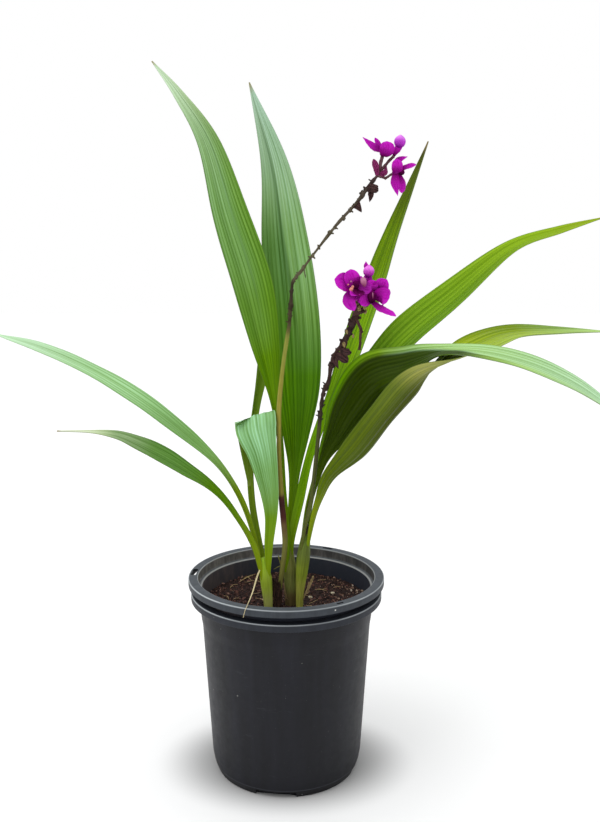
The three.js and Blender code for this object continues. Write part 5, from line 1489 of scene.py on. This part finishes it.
# %% [markdown]
# ## Blooms and buds
#
# Each bloom has a small solid heart and five to seven cupped petals. Round petals are broad and
# overlap; narrow ones are straps or points. They are thin shells with fine veins, deepest in colour
# at their foot. The lip of the lower left bloom carries a little warm-coloured callus. A bud is a
# closed egg with two small petals.

# %% Shapes of the blooms
# For each bloom or bud: its heart, the radius of that, and its petals.
BLOOMS = {
    "bloom_upper_left": ((92, -12, 623.5), 3.4, [
        ((92, -12, 625), (82, -14.5, 629.4), (72.5, -17, 637.5), 8, (0.2, -0.9, 0.4), "pointed"),
        ((92, -9, 625), (88, -7, 631.5), (84.4, -7, 638), 5.4, (0.3, -0.9, 0.2), "strap"),
        ((93.4, -14, 620.6), (94.8, -17.5, 627), (95, -16, 634), 14.6, (0.1, -1, 0.1), "round"),
        ((94, -10, 624), (98, -4, 627.5), (100.6, 2, 630.5), 9, (-0.5, -0.4, 0.8), "round"),
        ((92, -9, 624), (91.6, -2, 628), (90, 5, 632), 9, (0, -0.6, 0.8), "round")]),
    "bud_upper": ((108.2, -5, 635), 5.6, [
        ((102.4, -9, 621.6), (105, -6.6, 627.6), (107.8, -5, 633), 5.4, (0, -1, 0.1), "strap"),
        ((102.4, -9, 621.6), (106.6, -6.6, 626.4), (110.4, -5, 632), 5.4, (-0.6, -0.8, 0.1), "strap")]),
    "bloom_upper_right": ((104.4, -11, 606.4), 3.6, [
        ((104.8, -13, 605), (104.8, -17, 611), (104.8, -15, 618), 11, (0, -1, 0.1), "round"),
        ((106, -12, 608), (115, -14, 611), (122.6, -16, 613), 6, (0, -0.8, 0.6), "strap"),
        ((103.8, -13, 606), (103.4, -16, 596), (106, -15, 584.6), 8.6, (-0.2, -1, 0), "pointed"),
        ((106, -11, 605), (109.6, -12, 596), (110, -12, 587), 8, (0.3, -1, 0), "strap"),
        ((104, -9.6, 608), (107, -7.6, 617), (115.2, -8, 620.8), 7, (-0.3, -0.9, 0.3), "pointed"),
        ((106, -9, 606), (109, -2, 607), (111, 4, 606), 9, (0.2, -0.2, 0.9), "round")]),
    "bloom_lower_left": ((66, -53, 500), 4.2, [
        ((64, -54, 501), (55, -59, 505.6), (45.4, -61, 508.4), 17.4, (-0.2, -0.9, 0.3), "round"),
        ((66, -56, 502), (61.4, -61, 509), (60, -60, 517.4), 15.2, (0, -1, 0.2), "round"),
        ((64, -54, 497), (59.2, -58, 489.6), (64, -56, 479.6), 12.6, (-0.4, -0.9, -0.1), "round"),
        ((68, -57, 498), (65, -64, 496.6), (60, -69, 494.6), 11, (0.2, -0.5, 0.85), "round"),
        ((65, -57, 501), (72, -62, 501), (79, -60.4, 498.4), 13, (0, -1, 0.25), "round"),
        ((66, -50, 501), (68, -43, 505), (67, -36, 509), 12, (-0.4, -0.4, 0.8), "round"),
        ((67, -51, 498), (70, -43, 492), (69, -37, 485), 12, (-0.1, -0.8, -0.5), "round")]),
    "bud_lower": ((77.4, -47, 515.4), 5.2, [
        ((75.4, -46.2, 502.8), (76.4, -46.4, 507.6), (77.2, -47, 513), 8.6, (0, -1, 0.1), "strap"),
        ((76.2, -47, 516), (75, -46, 520), (74.8, -45, 524), 4.8, (0, -1, 0.1), "pointed")]),
    "bloom_lower_right": ((81, -51, 492), 4.4, [
        ((83, -51, 495), (88, -56, 502), (93.4, -58, 508), 14.6, (0.2, -1, 0.2), "round"),
        ((84, -52, 491), (90, -58, 493), (95.8, -57, 491), 17, (0.3, -0.9, 0), "round"),
        ((80, -54, 487.6), (88, -60, 481), (101.4, -66, 475.4), 9.6, (0.2, -0.6, 0.8), "strap"),
        ((79.6, -54, 490.6), (74, -57, 489), (70, -56, 484.6), 11, (-0.1, -1, 0), "round"),
        ((80.4, -53, 495), (79.6, -56, 501.6), (78.6, -54, 507.6), 12, (0, -1, 0.1), "round"),
        ((83, -48, 491), (89, -41, 493), (94, -35, 497), 12, (-0.5, -0.6, 0.6), "round")]),
}
# Small parts in the heart of a bloom: where, how large, how stretched, and which finish.
HEART_PARTS = {
    "bloom_lower_left": (
        ((65, -57.5, 502.5), 4.4, (1.1, 0.7, 1.1), 2), ((71.6, -64.4, 506.4), 2.7, (0.9, 0.6, 1.8), 4),
        ((60.7, -64.6, 499.2), 1.7, (1, 0.8, 1.2), 3), ((61.8, -64, 501.6), 1.3, (1, 0.8, 1), 3),
        ((57.6, -62.6, 503.6), 0.8, (1, 0.8, 1), 3), ((60.4, -63, 506.4), 0.9, (1, 0.8, 1), 4)),
    "bloom_lower_right": (
        ((79.4, -57, 492.4), 3.9, (1, 0.7, 1.5), 2), ((80.4, -60.4, 494), 0.7, (0.7, 0.7, 4.5), 4)),
    "bloom_upper_right": (((109.4, -14, 606.6), 2.6, (1, 0.8, 1.3), 2),),
}
LIP_BLOOM = "bloom_lower_left"
LIP = ((66, -58, 500), (67, -66, 496.6), (67.6, -69.4, 493.6), 11, (0.2, -0.4, 0.9), "round")
HOOD = 4                    # this petal of the same bloom stands over the lip and has the deep colour
BUD_LINE = ((-1, 0.42), (-0.72, 0.78), (-0.3, 0.97), (0.15, 0.98), (0.55, 0.8), (0.85, 0.48), (1.04, 0.16))
print("petals in all:", sum(len(petals) for _, _, petals in BLOOMS.values()))

# %% Colours of the blooms
# In each petal finish the pale colour, given or by default, is a painted highlight on the streaks towards the
# tip; the buds' pale upper colours are a painted highlight too.
magenta = petal_finish("magenta_petal", [(0, "#5c0048"), (0.3, "#8e007e"), (0.7, "#b400a6"), (1, "#cc10c4")])
deep_magenta = petal_finish("deep_magenta_heart", [(0, "#50043c"), (0.5, "#800672"), (1, "#a00898")])
lilac = petal_finish("lilac_bud", [(0, "#8a1496"), (0.35, "#b83cc6"), (0.8, "#e68af2"), (1, "#f0aef8")],
                     "#9a2aa6")
pink = petal_finish("pink_bud", [(0, "#8a1490"), (0.3, "#c030b8"), (0.7, "#f07cec"), (1, "#e46ae0")],
                    "#a82aa6", "#ffb8fa")
throat = petal_finish("dark_throat", [(0, "#2a0320"), (0.5, "#4a0436"), (1, "#74065e")],
                      "#1c0216", "#7a1066")
callus = petal_finish("warm_callus", [(0, "#c0506a"), (1, "#f0a08a")], "#b03a5a", "#ffc8a8")
column = petal_finish("dusty_column", [(0, "#8a3a64"), (1, "#c88aa4")], "#7a2a54", "#d8a0b8")
BUD_FINISHES = {"bud_upper": [magenta, lilac], "bud_lower": [magenta, pink]}
BLOOM_FINISHES = [magenta, deep_magenta, throat, callus, column]
print("bloom finishes:", ", ".join(finish.name for finish in BLOOM_FINISHES))

# %% Growing the blooms
HEART_SEED, PETAL_SEED, PART_SEED, LIP_SEED = 70, 80, 90, 140
SEEDS_PER_BLOOM = 9


def bud_form(heart, radius):
    """A closed bud: an egg of three wrapped petals, with a shallow seam between each two."""
    def seams(turn, t):
        seam = (turn * 1.5 / math.pi + 0.25 * t + 0.4) % 1.0
        return 1.02 - 0.13 * np.exp(-seam * 7) - 0.03 * np.cos(2 * turn)
    rows = [(heart[0] + 0.1 * radius * level, heart[1], heart[2] + level * radius, radius * wide)
            for level, wide in BUD_LINE]
    return stalk(rows, 42, 36, seams)


for number, (node, (heart, radius, petals)) in enumerate(BLOOMS.items()):
    bud = node.startswith("bud")
    if bud:
        middle = bud_form(heart, radius)
    else:
        middle = lump(heart, radius, seed=HEART_SEED + number, rough=0.12, sides=28, rings=20)
    growth = Growth().add(middle, 1)
    for k, shape in enumerate(petals):
        deep = node == LIP_BLOOM and k == HOOD
        growth.add(petal(*shape, PETAL_SEED + SEEDS_PER_BLOOM * number + k), 1 if deep else 0)
    for k, (at, size, stretch, kind) in enumerate(HEART_PARTS.get(node, ())):
        growth.add(lump(at, size, stretch, seed=PART_SEED + k, rough=0.2, sides=24, rings=16), kind)
    if node == LIP_BLOOM:
        growth.add(petal(*LIP, LIP_SEED, 2.0), 2)
    kind, place = node.split("_", 1)
    finishes = BUD_FINISHES.get(node, BLOOM_FINISHES)
    place_piece(f"{place}_{kind}", growth, finishes, node, "bud" if bud else "petal", 60)

# %% [markdown]
# ## A withered strip
#
# One dead leaf strip hangs from the left stem over the front rim. It is thin, flat and a little
# twisted, with fine fibres along it.

# %% Straw
STRAW = ((-26, -31.4, 221, 0.8), (-28.5, -42, 217, 0.9), (-31, -60, 211.4, 0.8), (-33.4, -76, 208.4, 0.7),
         (-35.6, -91.5, 207.2, 0.6), (-37.2, -97, 204.4, 0.5), (-38.6, -98.2, 199, 0.4))
straw_skin = crumpled_finish("straw_fibre", "#b8a473", "#efe2b8", 200.0, 0.65, 0.2)


def flat_and_twisted(turn, t):
    return 0.62 + 0.3 * np.cos(2 * turn + 5 * t) + 0.05 * np.cos(7 * turn)


ribbon = stalk(STRAW, 14, 120, flat_and_twisted)
place_piece("withered_strip", Growth().add(ribbon), [straw_skin], "dry_straw", "straw", 50)
